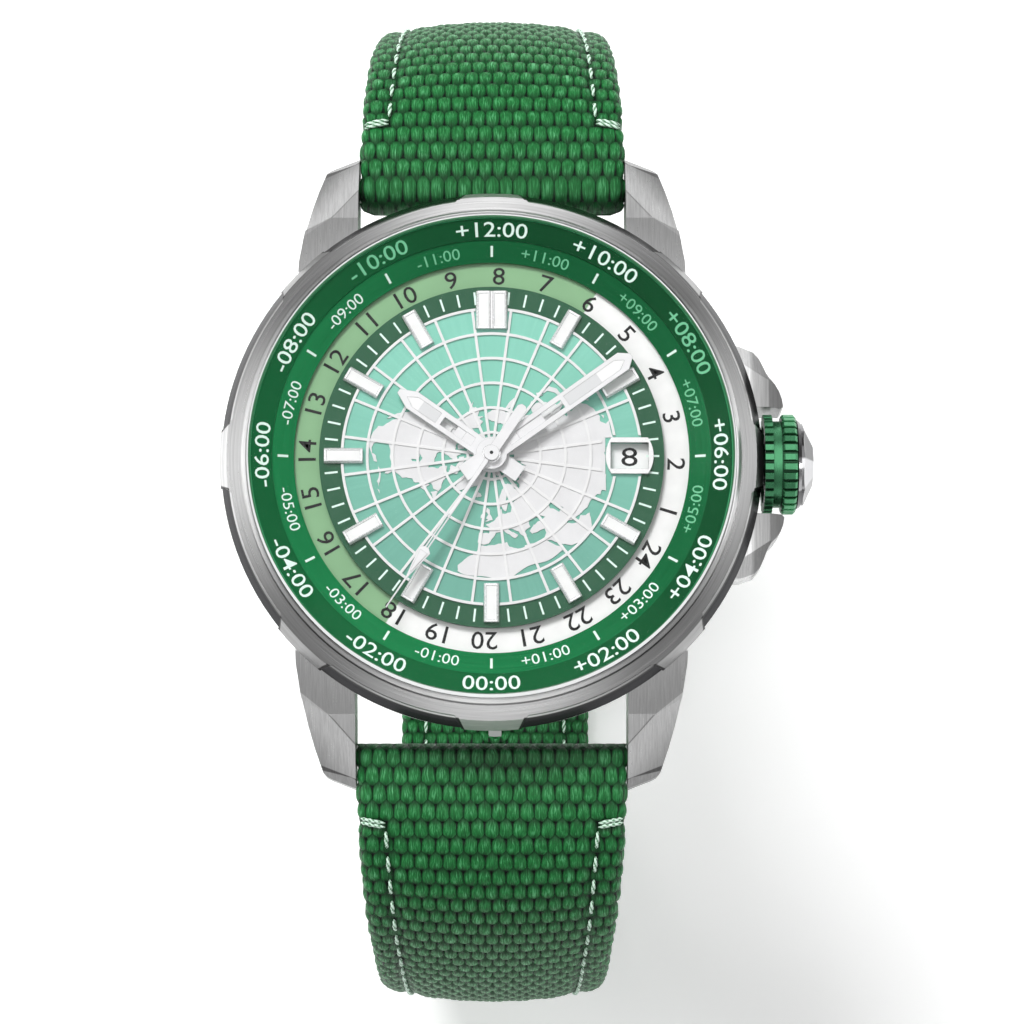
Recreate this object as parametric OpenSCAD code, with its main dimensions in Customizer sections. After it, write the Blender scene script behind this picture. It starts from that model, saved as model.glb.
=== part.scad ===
/* World-time wristwatch on a fabric strap, millimetres.
   Origin on the axis of the hands at the outer face of the case back.
   +Y points to 12 o'clock, +X to the crown, +Z out of the dial.
   The strap is open and stands in its own curl. */

/* [Case] */
// Outer radius of the bezel at its lower edge
bezel_r = 22.0; // [21.8:0.1:22.4]
// Step from the bezel's edge in to the case band
case_step = 0.8; // [0.7:0.05:1.0]
// Height of the case band's top face above the case back
case_top = 6.8; // [6.7:0.05:6.9]
// Height of the case band's lower face
case_low = 1.0; // [0.9:0.05:1.1]
// Radius of the bore that takes the movement
case_bore_r = 17.65; // [17.5:0.05:17.8]
// Chamfer round the lower edge of the case band
case_chamfer = 1.6; // [1.0:0.1:2.0]

/* [Lugs] */
// Gap between the lugs, which is the width of the strap
lug_gap = 22.0; // [21.6:0.1:22.4]
// Distance of each spring bar from the axis of the hands
bar_y = 23.5; // [23.3:0.1:24.0]
// Height of the spring bars
bar_z = 1.0; // [0.9:0.05:1.2]
// Length of a lug from the axis of the hands to its tip
lug_tip_y = 26.2; // [25.9:0.1:26.6]
// Outer side of a lug where it leaves the case
lug_root_x = 15.9; // [15.6:0.1:16.2]
// Outer side of a lug at its tip
lug_tip_x = 13.7; // [13.5:0.1:14.0]
// Height of the lug at the crease between its two facets
lug_crease_z = 4.9; // [4.7:0.1:5.1]
// Slope of the outer facet of a lug, in degrees
lug_fall = 38; // [34:1:42]
// Turn of the crease across the lug, in degrees
lug_crease_turn = 38; // [34:1:42]

/* [Bezel] */
// Width of the bezel from its bore to its edge
bezel_w = 2.35; // [2.25:0.05:2.4]
// Width of the polished inner rim
rim_w = 0.5; // [0.4:0.05:0.6]
// Height of the polished inner rim
rim_z = 10.0; // [9.9:0.05:10.1]
// Height of the brushed face at its inner edge
face_z = 8.8; // [8.7:0.05:8.9]
// Width of the bevel outside the brushed face
bevel_w = 0.65; // [0.5:0.05:0.8]
// Number of tabs round the bezel
tab_count = 8; // [6:1:10]
// Half angle of a tab at its outer edge, in degrees
tab_half = 6.2; // [5:0.1:7]
// Depth of the polished scoops between the tabs
scoop_depth = 0.32; // [0.25:0.01:0.4]

/* [Crystal] */
// Width of the seal round the crystal
crystal_gap = 0.3; // [0.25:0.05:0.4]
// Height of the crystal's lower edge
crystal_z = 9.75; // [9.7:0.05:9.9]
// Thickness of the crystal at its edge
crystal_edge = 0.7; // [0.6:0.05:0.8]
// Rise of the domed outer face
crystal_dome = 1.6; // [1.5:0.05:1.8]
// Rise of the domed inner face
crystal_hollow = 1.15; // [1.1:0.05:1.3]

/* [Flange ring] */
// Inner radius of the ring that carries the zone numbers
flange_in_r = 15.9; // [15.8:0.05:16.0]
// Height of its inner edge
flange_in_z = 8.3; // [8.25:0.01:8.35]
// Radius of the step between its two bands
flange_step_r = 17.63; // [17.5:0.05:17.8]
// Height of the ring at the step
flange_step_z = 9.1; // [9.0:0.05:9.2]
// Height of its outer edge
flange_out_z = 9.7; // [9.6:0.05:9.72]
// Depth of the step between the bands
flange_step = 0.12; // [0.08:0.01:0.16]

/* [Dial] */
// Radius of the dial
dial_r = 13.87; // [13.8:0.01:13.95]
// Height of the dial's face
dial_z = 8.5; // [8.48:0.01:8.52]
// Thickness of the dial
dial_t = 0.4; // [0.35:0.01:0.42]
// Radius of the map in the middle of the dial
map_r = 12.12; // [12.0:0.01:12.2]
// Number of meridians in the raised grid
meridians = 24; // [12:12:24]
// Number of parallels inside the edge of the map
parallels = 5; // [4:1:6]
// Width of a grid line
grid_w = 0.22; // [0.18:0.01:0.26]
// Height of the grid above the dial
grid_h = 0.16; // [0.12:0.01:0.2]
// Radius of the hole in the dial for the hands
dial_hole_r = 1.3; // [1.25:0.05:1.4]
// Distance of the date window from the axis
date_x = 11.08; // [11.0:0.01:11.12]
// Width of the date window
date_w = 3.06; // [3.0:0.01:3.1]
// Height of the date window
date_h = 2.14; // [2.0:0.01:2.3]
// Width of the frame round the date window
date_rim = 0.4; // [0.35:0.01:0.45]
// Height of the date frame above the dial
date_frame_h = 0.35; // [0.3:0.01:0.5]

/* [Hour markers] */
// Width of an hour marker
marker_w = 1.22; // [1.1:0.01:1.3]
// Length of an hour marker
marker_l = 3.1; // [2.9:0.05:3.15]
// Radius of the outer end of the hour markers
marker_r = 13.45; // [13.3:0.01:13.5]
// Height of the hour markers above the dial
marker_h = 0.5; // [0.4:0.05:0.6]
// Rim of a marker round its filling
marker_rim = 0.2; // [0.15:0.01:0.25]
// Distance between the two markers at 12 o'clock
marker_pair = 1.3; // [1.28:0.01:1.4]

/* [World time ring] */
// Inner radius of the ring's flat face
ring_in_r = 13.35; // [13.3:0.01:13.4]
// Outer radius of the ring, which turns inside the flange ring
ring_out_r = 17.2; // [17.1:0.01:17.3]
// Height of the ring's face
ring_z = 7.9; // [7.88:0.01:7.92]
// Thickness of the ring's flat face
ring_t = 0.35; // [0.3:0.01:0.38]
// Outer radius of the toothed skirt under the ring
skirt_r = 14.9; // [14.8:0.05:14.95]
// Lower face of the toothed skirt
skirt_z = 7.2; // [7.15:0.01:7.25]

/* [Hands] */
// Length of the hour hand
hour_l = 9.1; // [8.8:0.1:9.4]
// Width of the hour hand
hour_w = 1.5; // [1.3:0.05:1.7]
// Length of the minute hand
minute_l = 13.8; // [13.4:0.1:13.85]
// Width of the minute hand
minute_w = 1.5; // [1.3:0.05:1.7]
// Length of the tails of the hour and minute hands
tail_l = 2.8; // [2.6:0.1:3.0]
// Length of the seconds hand
second_l = 15.0; // [14.6:0.1:15.1]
// Length of the seconds hand's tail
second_tail = 4.65; // [4.4:0.05:4.9]
// Width of the seconds hand's tail
second_tail_w = 0.85; // [0.75:0.05:0.95]
// Thickness of the hands
hand_t = 0.2; // [0.18:0.01:0.22]
// Height of the hour hand's lower face
hour_z = 9.1; // [9.08:0.01:9.15]
// Height of the minute hand's lower face
minute_z = 9.6; // [9.55:0.01:9.65]
// Height of the seconds hand's lower face
second_z = 10.05; // [10.0:0.01:10.1]
// Hour hand clockwise from 12 o'clock, in degrees
hour_at = 304.8; // [0:0.1:360]
// Minute hand clockwise from 12 o'clock, in degrees
minute_at = 54.5; // [0:0.1:360]
// Seconds hand clockwise from 12 o'clock, in degrees
second_at = 214; // [0:0.1:360]

/* [Movement] */
// Radius of the main plate
plate_r = 15.0; // [14.9:0.05:15.05]
// Top face of the main plate
plate_z = 6.65; // [6.62:0.01:6.68]
// Thickness of the main plate
plate_t = 1.1; // [1.05:0.01:1.15]
// Lower face of the train bridge
bridge_z = 3.0; // [2.95:0.01:3.05]
// Thickness of the train bridge
bridge_t = 0.55; // [0.5:0.01:0.58]
// Radius of the winding rotor
rotor_r = 15.4; // [15.0:0.1:15.8]
// Radius of the balance wheel
balance_r = 3.3; // [3.0:0.05:3.4]
// Radius of the mainspring barrel's drum
drum_r = 5.2; // [5.0:0.05:5.3]
// Distance of the third wheel from the axis of the hands
third_d = 4.85; // [4.75:0.05:4.9]
// Distance of the minute wheel from the axis of the hands
minute_wheel_d = 4.0; // [3.95:0.05:4.1]
// Pitch radius of the teeth inside the world time ring
ring_pitch_r = 13.4; // [13.35:0.01:13.45]

/* [Crown] */
// Height of the winding stem
stem_z = 4.3; // [4.25:0.05:4.4]
// Radius of the crown over its teeth
crown_r = 4.08; // [3.95:0.01:4.15]
// Gap between the bezel and the crown when it is pushed in
crown_gap = 0.06; // [0.05:0.01:0.1]
// Length of the crown's grip
crown_l = 2.62; // [2.5:0.01:2.8]
// Distance of the smooth groove from the grip's inner end
crown_groove_at = 0.69; // [0.6:0.01:0.8]
// Width of the smooth groove
crown_groove_w = 0.76; // [0.6:0.01:0.9]
// Number of teeth round the crown
crown_teeth = 32; // [28:1:36]
// Height of the pointed cap over the grip
crown_cap_h = 1.63; // [1.5:0.01:1.75]
// Radius of the steel cap
cap_r = 3.65; // [3.5:0.01:3.7]
// Travel of the crown when it is pulled to set the hands
crown_pull = 1.2; // [1.0:0.1:1.4]
// Half width of the gap between the crown guards
guard_gap = 4.35; // [4.3:0.01:4.4]
// Reach of the crown guards past the bezel's edge
guard_reach = 1.7; // [1.5:0.05:1.9]

/* [Case back] */
// Radius of the case back's flange
back_r = 18.6; // [18.4:0.05:18.8]
// Radius of the flat outer face
back_flat_r = 17.0; // [16.8:0.1:17.2]
// Radius of the plug that screws into the case
back_plug_r = 17.55; // [17.4:0.01:17.6]
// Number of key notches round the case back
notch_count = 6; // [4:1:8]

/* [Strap] */
// Width of the strap at the buckle
strap_end_w = 18.0; // [17.6:0.1:18.4]
// Thickness of the strap at the lugs
strap_t = 3.6; // [3.4:0.05:3.7]
// Thickness of the strap at the buckle and the tail
strap_end_t = 2.4; // [2.2:0.05:2.5]
// Length of the straight start of both halves, at the lugs
lead_l = 2.5; // [2.3:0.1:2.7]
// Radius of the first bend of both halves, next to the lugs
bend_r = 13; // [12.5:0.5:13.5]
// Radius of the long bend down the sides
side_r = 30; // [29:1:31]
// Radius of the bend of the buckle half under the wrist
under_r = 18; // [17.5:0.5:18.5]
// Length of the straight end of the buckle half
straight_l = 20; // [19:0.5:21]
// Radius of the bend of the long half onto the table
foot_r = 22; // [21:0.5:23]
// Length of the flat end of the long half
flat_l = 47; // [45:1:49]
// Number of buckle holes
hole_count = 7; // [5:1:8]
// Distance between the buckle holes
hole_pitch = 5.5; // [5:0.25:6]
// Radius of a buckle hole
hole_r = 1.0; // [0.9:0.05:1.1]

/* [Buckle and keepers] */
// Length of the buckle frame
buckle_l = 11.5; // [11:0.25:12]
// Thickness of the buckle frame
buckle_t = 2.0; // [1.9:0.05:2.1]
// Width of the buckle frame's sides
buckle_side = 1.9; // [1.8:0.05:2.2]
// Radius of the buckle bar
buckle_bar_r = 0.7; // [0.65:0.05:0.75]
// Width of the tongue
tongue_w = 1.7; // [1.6:0.05:1.8]
// Length of a keeper along the strap
keeper_l = 5.0; // [4.5:0.25:5.25]
// Wall of a keeper
keeper_wall = 1.1; // [1.0:0.05:1.2]
// Room inside a keeper beside the strap
keeper_room = 2.7; // [2.5:0.1:2.8]

/* [Fits] */
// Radial clearance of a shaft that turns in its bore
running = 0.04; // [0.02:0.01:0.05]
// Gap between pieces that are set into each other
fit = 0.03; // [0.02:0.01:0.05]
// Gap between flat faces that slide over each other
slide = 0.1; // [0.08:0.01:0.12]

/* [Hidden] */
$fn = 96;
eps = 0.01;
far = 60;

case_r = bezel_r - case_step;
bezel_bore_r = bezel_r - bezel_w;
rim_r = bezel_bore_r + rim_w;
face_r = bezel_r - bevel_w;
crystal_r = bezel_bore_r - crystal_gap;
collar_r = bezel_bore_r + 0.95;
collar_h = 1.0;
lug_half = lug_gap / 2;
lug_low = -0.85;
lug_crease_y = lug_tip_y - 4.25;
bar_r = 0.75;
bar_tip_r = 0.45;
eye_r = strap_t / 2;

hour_tube_r = 1.05;
hour_bore_r = 0.77;
cannon_r = hour_bore_r - running;
cannon_bore_r = 0.49;
centre_tube_r = cannon_bore_r - fit;
centre_bore_r = 0.26;
second_r = centre_bore_r - running;
arbor_r = 0.22;
pivot_r = 0.1;
post_r = 0.3;

level_cannon = plate_z + 0.06;
level_hour = level_cannon + 0.28;
level_idler = skirt_z + 0.05;
cannon_teeth_h = 0.22;
hour_teeth_h = 0.22;
idler_h = 0.35;
date_z = dial_z - dial_t - slide;
date_t = 0.2;
date_in_r = 8.55;
date_out_r = 12.75;
date_teeth = 31;

hour_teeth = 48;
ring_teeth = 96;
idler_teeth = 12;
ring_m = 2 * ring_pitch_r / ring_teeth;
hour_pitch_r = ring_m * hour_teeth / 2;
idler_pitch_r = ring_m * idler_teeth / 2;
idler_a_d = hour_pitch_r + idler_pitch_r;
idler_b_d = ring_pitch_r - idler_pitch_r;
cannon_teeth = 12;
minute_teeth = 36;
minute_pinion_teeth = 10;
hour_inner_teeth = 40;
cannon_m = 2 * minute_wheel_d / (cannon_teeth + minute_teeth);
hour_m = 2 * minute_wheel_d / (minute_pinion_teeth + hour_inner_teeth);
minute_wheel_at = 150;

plate_low = plate_z - plate_t;
bridge_top = bridge_z + bridge_t;
centre_teeth = 60;
third_pinion_teeth = 8;
third_teeth = 64;
fourth_pinion_teeth = 8;
centre_m = 2 * third_d / (centre_teeth + third_pinion_teeth);
third_m = 2 * third_d / (third_teeth + fourth_pinion_teeth);
fourth_m = 0.12;
fourth_teeth = 72;
escape_pinion_teeth = 6;
barrel_teeth = 80;
centre_pinion_teeth = 10;
barrel_m = 0.14;
third_at = 115;
barrel_at = 200;
escape_at = -60;
barrel_d = barrel_m * (barrel_teeth + centre_pinion_teeth) / 2;
escape_d = fourth_m * (fourth_teeth + escape_pinion_teeth) / 2;
level_fourth = 3.75;
level_third = 4.05;
level_barrel = 4.35;
barrel_h = 0.75;
level_centre = 5.2;
wheel_t = 0.18;
escape_r = 2.2;
level_escape = 4.6;
escape_teeth = 20;
pallet_d = 3.0;
balance_d = 6.9;
balance_turn = -20;
pillar_r = 0.9;
pillar_d = 13.4;
pillar_angles = [60, 150, 250];
cock_foot_at = -64;
jewel_r = 0.55;
jewel_t = 0.3;

crown_x0 = bezel_r + crown_gap;
crown_groove0 = crown_x0 + crown_groove_at;
crown_groove1 = crown_groove0 + crown_groove_w;
crown_x1 = crown_x0 + crown_l;
guard_x = bezel_r + guard_reach;
tube_r = 1.9;
tube_bore_r = 1.0;
stem_r = tube_bore_r - running;
stem_in_x = 8.0;
neck_x = 10.5;
neck_l = 0.6;
neck_r = 0.55;

function polar(d, a) = [d * cos(a), d * sin(a)];
third_xy = polar(third_d, third_at);
barrel_xy = polar(barrel_d, barrel_at);
escape_xy = polar(escape_d, escape_at);
pallet_xy = escape_xy + polar(pallet_d, balance_turn);
balance_xy = escape_xy + polar(balance_d, balance_turn);
minute_wheel_xy = polar(minute_wheel_d, minute_wheel_at);
cock_foot = polar(pillar_d, cock_foot_at);

steel = "#c9ccce";
steel_dark = "#8d9194";
brass = "#c8a85a";
green = "#1f7a45";
green_deep = "#2c6a46";
teal = "#8fd0bb";
white = "#f1f4f1";
ruby = "#b01848";
fabric = "#1e733c";

// A wheel's outline: teeth with straight flanks, one tooth at the angle phase
module wheel_outline(teeth, m, phase = 0, thin = 0, tip = 0.9, root = 1.2) {
    r = teeth * m / 2;
    pitch = 360 / teeth;
    slack = thin * 180 / (PI * r);
    ends = [[r - root * m, 0.29], [r, 0.21], [r + tip * m, 0.1]];
    polygon([for (i = [0:teeth - 1])
        for (k = [0:5])
            let (s = k < 3 ? -1 : 1, e = ends[k < 3 ? k : 5 - k])
            polar(e[0], phase + i * pitch + s * (e[1] * pitch - slack))]);
}

module wheel(teeth, m, h, phase = 0) {
    linear_extrude(h) wheel_outline(teeth, m, phase);
}

// Angle of a tooth on a wheel at `at` that meets a gap of its partner at the centre
function facing(at, teeth) = at + 180 + 180 / teeth;

// Cut-outs that leave the arms of a wheel
module spokes(r_in, r_out, arms, w) {
    difference() {
        circle(r_out);
        circle(r_in);
        for (i = [0:arms - 1]) rotate(i * 360 / arms) translate([0, -w / 2]) square([far, w]);
    }
}

module ring(r_out, r_in, h) {
    difference() {
        cylinder(r = r_out, h = h);
        translate([0, 0, -eps]) cylinder(r = r_in, h = h + 2 * eps);
    }
}

module at_z(z) translate([0, 0, z]) children();
module at_xy(p, z = 0) translate([p[0], p[1], z]) children();
module four_ways() for (sx = [0, 1], sy = [0, 1]) mirror([sx, 0, 0]) mirror([0, sy, 0]) children();
module along_x() rotate([90, 0, 90]) children();

// Case band, lugs and guards
module lug_plan() {
    polygon([[lug_half, 12], [lug_half, lug_tip_y], [lug_tip_x - 0.75, lug_tip_y - 0.75],
             [lug_tip_x - 0.3, lug_tip_y - 0.98], [lug_tip_x, lug_tip_y - 1.3],
             [lug_tip_x + 0.12, lug_tip_y - 1.65], [lug_tip_x + 0.62, lug_tip_y - 3.1],
             [lug_tip_x + 1.12, lug_tip_y - 4.85], [lug_root_x - 0.53, lug_tip_y - 7.2],
             [lug_root_x - 0.15, lug_tip_y - 9.7], [lug_root_x, 12]]);
}

module lug_side() {
    polygon([[11, case_low + 0.5], [16.5, case_low - 0.2], [20, lug_low + 0.5], [22.5, lug_low],
             [lug_tip_y, lug_low], [lug_tip_y, lug_crease_z - 1], [lug_crease_y - 1.5, lug_crease_z + 0.05],
             [15.5, case_top - 0.15], [11, case_top - 0.15]]);
}

// All above a plane that falls towards +Y from a line through p, turned clockwise
module above_fall(p, turn, fall) {
    translate(p) rotate([0, 0, -turn]) rotate([-fall, 0, 0]) translate([-far / 2, 0, 0])
        cube([far, far / 2, far / 4]);
}

module lug() {
    tip_fall = 68;
    tip_turn = 22;
    difference() {
        intersection() {
            at_z(-2) linear_extrude(case_top + 4) lug_plan();
            along_x() linear_extrude(far / 2) lug_side();
        }
        above_fall([lug_half + 0.3, lug_crease_y, lug_crease_z], lug_crease_turn, lug_fall);
        above_fall([lug_half, lug_tip_y - 0.65, lug_low + 3.6], tip_turn, tip_fall);
        translate([lug_half - eps, bar_y, bar_z]) along_x() cylinder(r = bar_tip_r, h = 1.3);
    }
}

module guard_plan() {
    root_x = case_r - 2.2;
    polygon([[root_x, guard_gap], [guard_x - 0.2, guard_gap], [guard_x, guard_gap + 0.2],
             [guard_x - 0.1, guard_gap + 0.8], [guard_x - 0.33, guard_gap + 1.4],
             [guard_x - 0.7, guard_gap + 1.95], [guard_x - 1.15, guard_gap + 2.4],
             [guard_x - 1.45, guard_gap + 2.95], [guard_x - 1.65, guard_gap + 3.5],
             [guard_x - 1.95, guard_gap + 4.2], [guard_x - 2.4, guard_gap + 4.75],
             [case_r - 1.1, guard_gap + 5.2], [root_x - 0.6, guard_gap + 5.1]]);
}

module guard() {
    difference() {
        at_z(case_low + 0.4) linear_extrude(case_top - case_low - 0.55) guard_plan();
        translate([guard_x - 1.4, 0, case_top]) rotate([0, 38, 0])
            translate([0, -far / 2, 0]) cube([far, far, far]);
        translate([guard_x - 1.2, 0, case_low]) rotate([0, 52, 0])
            translate([0, -far / 2, -far]) cube([far, far, far]);
        above_fall([bezel_r - 1, guard_gap + 3.2, case_top - 0.15], 33, 42);
        above_fall([bezel_r, guard_gap + 4.1, stem_z + 0.4], 12, 62);
    }
}

module mid_case() color(steel) {
    difference() {
        union() {
            rotate_extrude() polygon([
                [0, case_low], [case_r - 1.8, case_low], [case_r, case_low + case_chamfer],
                [case_r, case_top], [collar_r, case_top], [collar_r, case_top + collar_h],
                [0, case_top + collar_h]]);
            four_ways() lug();
            for (s = [0, 1]) mirror([0, s, 0]) guard();
        }
        at_z(case_low - eps) cylinder(r = case_bore_r, h = far);
        at_z(case_top) cylinder(r = bezel_bore_r + fit, h = far);
        at_z(case_low - eps) ring(back_plug_r + 0.75, back_plug_r - 1, 0.55);
        translate([12, 0, stem_z]) along_x() cylinder(r = tube_r + fit, h = far);
        translate([crown_x0 - 1.0, 0, stem_z]) along_x() cylinder(r = crown_r + 0.2, h = far);
    }
}

// Bezel with its tabs
module scoop_plan() {
    gap = 360 / tab_count;
    r0 = face_r - 0.25;
    r1 = bezel_r + 1;
    lean = 1.9;
    steps = 8;
    a0 = tab_half + lean;
    a1 = gap - tab_half - lean;
    polygon(concat(
        [polar(r1, tab_half - 0.4), polar(face_r + 0.3, tab_half + 0.3)],
        [for (i = [0:steps]) polar(r0, a0 + (a1 - a0) * i / steps)],
        [polar(face_r + 0.3, gap - tab_half - 0.3), polar(r1, gap - tab_half + 0.4)],
        [for (i = [0:steps]) polar(r1 + 2, gap - gap * i / steps)]));
}

module scoop_ring() {
    rotate_extrude() polygon([
        [face_r - 0.35, face_z + 0.3], [face_r - 0.2, face_z - 0.25 - scoop_depth / 2],
        [face_r + 0.16, face_z - 0.75 - scoop_depth], [bezel_r - 0.12, case_top + 0.2],
        [bezel_r - 0.12, case_top - 1], [bezel_r + 1, case_top - 1], [bezel_r + 1, face_z + 0.3]]);
}

module bezel() color(steel) {
    difference() {
        rotate_extrude() polygon([
            [bezel_bore_r, case_top + collar_h + fit], [bezel_bore_r, rim_z - 0.1],
            [bezel_bore_r + 0.1, rim_z], [rim_r - 0.32, rim_z - 0.08], [rim_r - 0.08, rim_z - 0.5],
            [rim_r, face_z],
            [face_r, face_z - 0.27], [bezel_r - 0.1, case_top + 0.35], [bezel_r, case_top + 0.1],
            [bezel_r - 0.15, case_top + 0.01], [collar_r + fit, case_top + 0.01],
            [collar_r + fit, case_top + collar_h + fit]]);
        for (i = [0:tab_count - 1])
            intersection() {
                scoop_ring();
                rotate(i * 360 / tab_count) linear_extrude(far / 4) scoop_plan();
            }
    }
}

// Glass: two domes, thickest in the middle
function dome_r(rise, r) = (rise * rise + r * r) / (2 * rise);

module dome(z, rise, r) {
    sphere_r = dome_r(rise, r);
    at_z(z + rise - sphere_r) rotate_extrude($fn = 360) intersection() {
        circle(sphere_r);
        translate([0, sphere_r - rise]) square([r, rise + 1]);
    }
}

module crystal() color("#dfeef2", 0.25) {
    inner_r = crystal_r - 0.4;
    difference() {
        union() {
            at_z(crystal_z) cylinder(r = crystal_r, h = crystal_edge);
            dome(crystal_z + crystal_edge, crystal_dome, crystal_r - 0.15);
        }
        dome(crystal_z, crystal_hollow, inner_r);
        at_z(crystal_z - 1) cylinder(r = inner_r, h = 1);
    }
}

module crystal_gasket() color("#22352a")
    at_z(crystal_z) ring(bezel_bore_r - fit / 3, crystal_r + fit / 3, rim_z - crystal_z - 0.06);

// Fixed ring round the dial, in two sloping bands
module flange_ring() color(green) {
    out_r = bezel_bore_r - fit;
    rotate_extrude() polygon([
        [flange_in_r, flange_in_z - 0.2], [flange_in_r, flange_in_z],
        [flange_step_r, flange_step_z - flange_step], [flange_step_r, flange_step_z],
        [out_r - 0.3, flange_out_z], [out_r, flange_out_z], [out_r, case_top],
        [case_bore_r + fit, case_top], [case_bore_r + fit, ring_z - ring_t - slide],
        [ring_out_r + running, ring_z - ring_t - slide],
        [ring_out_r + running, ring_z + slide], [flange_in_r + 0.15, flange_in_z - 0.3]]);
}

// Dial and what is set on it
feet_angles = [70, 250];
module dial_plate() color(teal) {
    difference() {
        union() {
            at_z(dial_z - dial_t) cylinder(r = dial_r, h = dial_t);
            for (a = feet_angles) at_xy(polar(7.9, a), plate_z - 0.8)
                cylinder(r = 0.32, h = dial_z - plate_z + 0.6);
        }
        at_z(dial_z - 2) cylinder(r = dial_hole_r, h = 3);
        translate([date_x - date_w / 2, -date_h / 2, dial_z - 2]) cube([date_w, date_h, 3]);
    }
}

module map_grid() color(white) at_z(dial_z) linear_extrude(grid_h) difference() {
    union() {
        for (i = [0:parallels]) let (r = map_r * (i + 1) / (parallels + 1)) difference() {
            circle(r);
            circle(r - grid_w);
        }
        for (i = [0:meridians / 2 - 1]) rotate((i + 0.5) * 360 / meridians)
            square([2 * map_r - 0.1, grid_w], center = true);
    }
    circle(dial_hole_r);
    for (h = [0:11]) marker_place(h) square([marker_w + 0.1, marker_l + 0.1], center = true);
    for (s = [-0.5, 0.5]) translate([s * marker_pair, marker_r - marker_l / 2])
        square([marker_w + 0.1, marker_l + 0.1], center = true);
    translate([date_x, 0]) square([date_w + 2 * date_rim + 0.6, date_h + 2 * date_rim + 0.4],
                                  center = true);
}

module marker_place(h) {
    rotate(-30 * h) translate([0, marker_r - marker_l / 2]) children();
}

module marker_frame() {
    low = marker_w / 2;
    difference() {
        rotate([90, 0, 0]) translate([0, 0, -marker_l / 2]) linear_extrude(marker_l)
            polygon([[-low, 0], [low, 0], [low, marker_h - 0.18], [low - 0.14, marker_h],
                     [0.14 - low, marker_h], [-low, marker_h - 0.18]]);
        translate([0, 0, marker_h]) cube([marker_w - 2 * marker_rim,
            marker_l - 2 * marker_rim, 0.4], center = true);
    }
}

module each_marker() {
    for (h = [1, 2, 4, 5, 6, 7, 8, 9, 10, 11]) marker_place(h) at_z(dial_z) children();
    for (s = [-0.5, 0.5]) translate([s * marker_pair, marker_r - marker_l / 2, dial_z]) children();
}

module hour_markers() color(steel) each_marker() marker_frame();

module marker_lume() color(white) each_marker()
    translate([0, 0, marker_h - 0.12]) cube([marker_w - 2 * marker_rim - 0.02,
        marker_l - 2 * marker_rim - 0.02, 0.16], center = true);

module date_frame() color(steel) {
    w = date_w + 2 * date_rim;
    h = date_h + 2 * date_rim;
    bow_r = 2.6;
    difference() {
        translate([date_x, 0, dial_z]) linear_extrude(date_frame_h) intersection() {
            square([w, h], center = true);
            translate([-w / 2 + bow_r, 0]) circle(bow_r);
            translate([w / 2 - bow_r, 0]) circle(bow_r);
        }
        translate([date_x - date_w / 2, -date_h / 2, dial_z - 1]) cube([date_w, date_h, 3]);
    }
}

module date_disc() color(white) at_z(date_z - date_t) linear_extrude(date_t) difference() {
    circle(date_out_r);
    circle(date_in_r);
    for (i = [0:date_teeth - 1]) rotate((i + 0.5) * 360 / date_teeth) translate([date_in_r, 0])
        polygon([[-0.3, -0.62], [0.38, -0.3], [0.38, 0.3], [-0.3, 0.62]]);
}

// World time ring and the wheels that turn it
module ring_24h() color("#bfe0bd") {
    at_z(ring_z - ring_t) ring(ring_out_r, ring_in_r, ring_t);
    at_z(skirt_z) linear_extrude(ring_z - ring_t - skirt_z) difference() {
        circle(skirt_r);
        wheel_outline(ring_teeth, ring_m, 180, -0.05, 1.15, 0.95);
    }
}

module idler(teeth, m, phase) difference() {
    at_z(level_idler) wheel(teeth, m, idler_h, phase);
    at_z(level_idler - eps) cylinder(r = post_r + running, h = 1);
}

module ring_idler_a() color(brass) translate([-idler_a_d, 0, 0])
    idler(idler_teeth, ring_m, 180 / idler_teeth);
module ring_idler_b() color(brass) translate([-idler_b_d, 0, 0])
    idler(idler_teeth, ring_m, 0);

// Hands. Each one points along +Y, and its children are the openings in it
module pointer(l, w, tip, tail_w, hub) {
    difference() {
        union() {
            linear_extrude(hand_t) polygon([
                [-w / 2, -0.3], [-w / 2 - 0.06, l - tip], [-w * 0.12, l], [w * 0.12, l],
                [w / 2 + 0.06, l - tip], [w / 2, -0.3]]);
            translate([-tail_w / 2, -tail_l, 0]) cube([tail_w, tail_l + 0.2, hand_t]);
            cylinder(r = hub, h = hand_t);
        }
        at_z(-eps) linear_extrude(hand_t + 2 * eps) children();
    }
}

module lume_plan(w, y0, y1, tip) polygon([[-w / 2, y0], [-w / 2, y1 - tip], [0, y1],
                                          [w / 2, y1 - tip], [w / 2, y0]]);
module slot_plan(w, y0, y1) translate([-w / 2, y0]) square([w, y1 - y0]);
module hand_turn(a, z) at_z(z) rotate(-a) children();

hour_inner_w = hour_w - 0.56;
minute_inner_w = minute_w - 0.6;
module hour_lume_plan(slack = 0) lume_plan(hour_inner_w - slack, hour_l - 3.9 + slack / 2,
                                           hour_l - 0.85 - slack, 0.8);
module minute_lume_plan(slack = 0) lume_plan(minute_inner_w - slack, minute_l - 6.4 + slack / 2,
                                             minute_l - 0.7 - slack, 0.7);

module hour_hand() color(white) difference() {
    hand_turn(hour_at, hour_z) pointer(hour_l, hour_w, 1.3, 1.4, 1.45) {
        hour_lume_plan();
        slot_plan(hour_inner_w - 0.2, 1.8, hour_l - 4.3);
    }
    at_z(hour_z - 1) cylinder(r = hour_tube_r, h = 2);
}

module hour_lume() color("#eaf6ee")
    hand_turn(hour_at, hour_z) linear_extrude(hand_t) hour_lume_plan(0.02);

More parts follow.
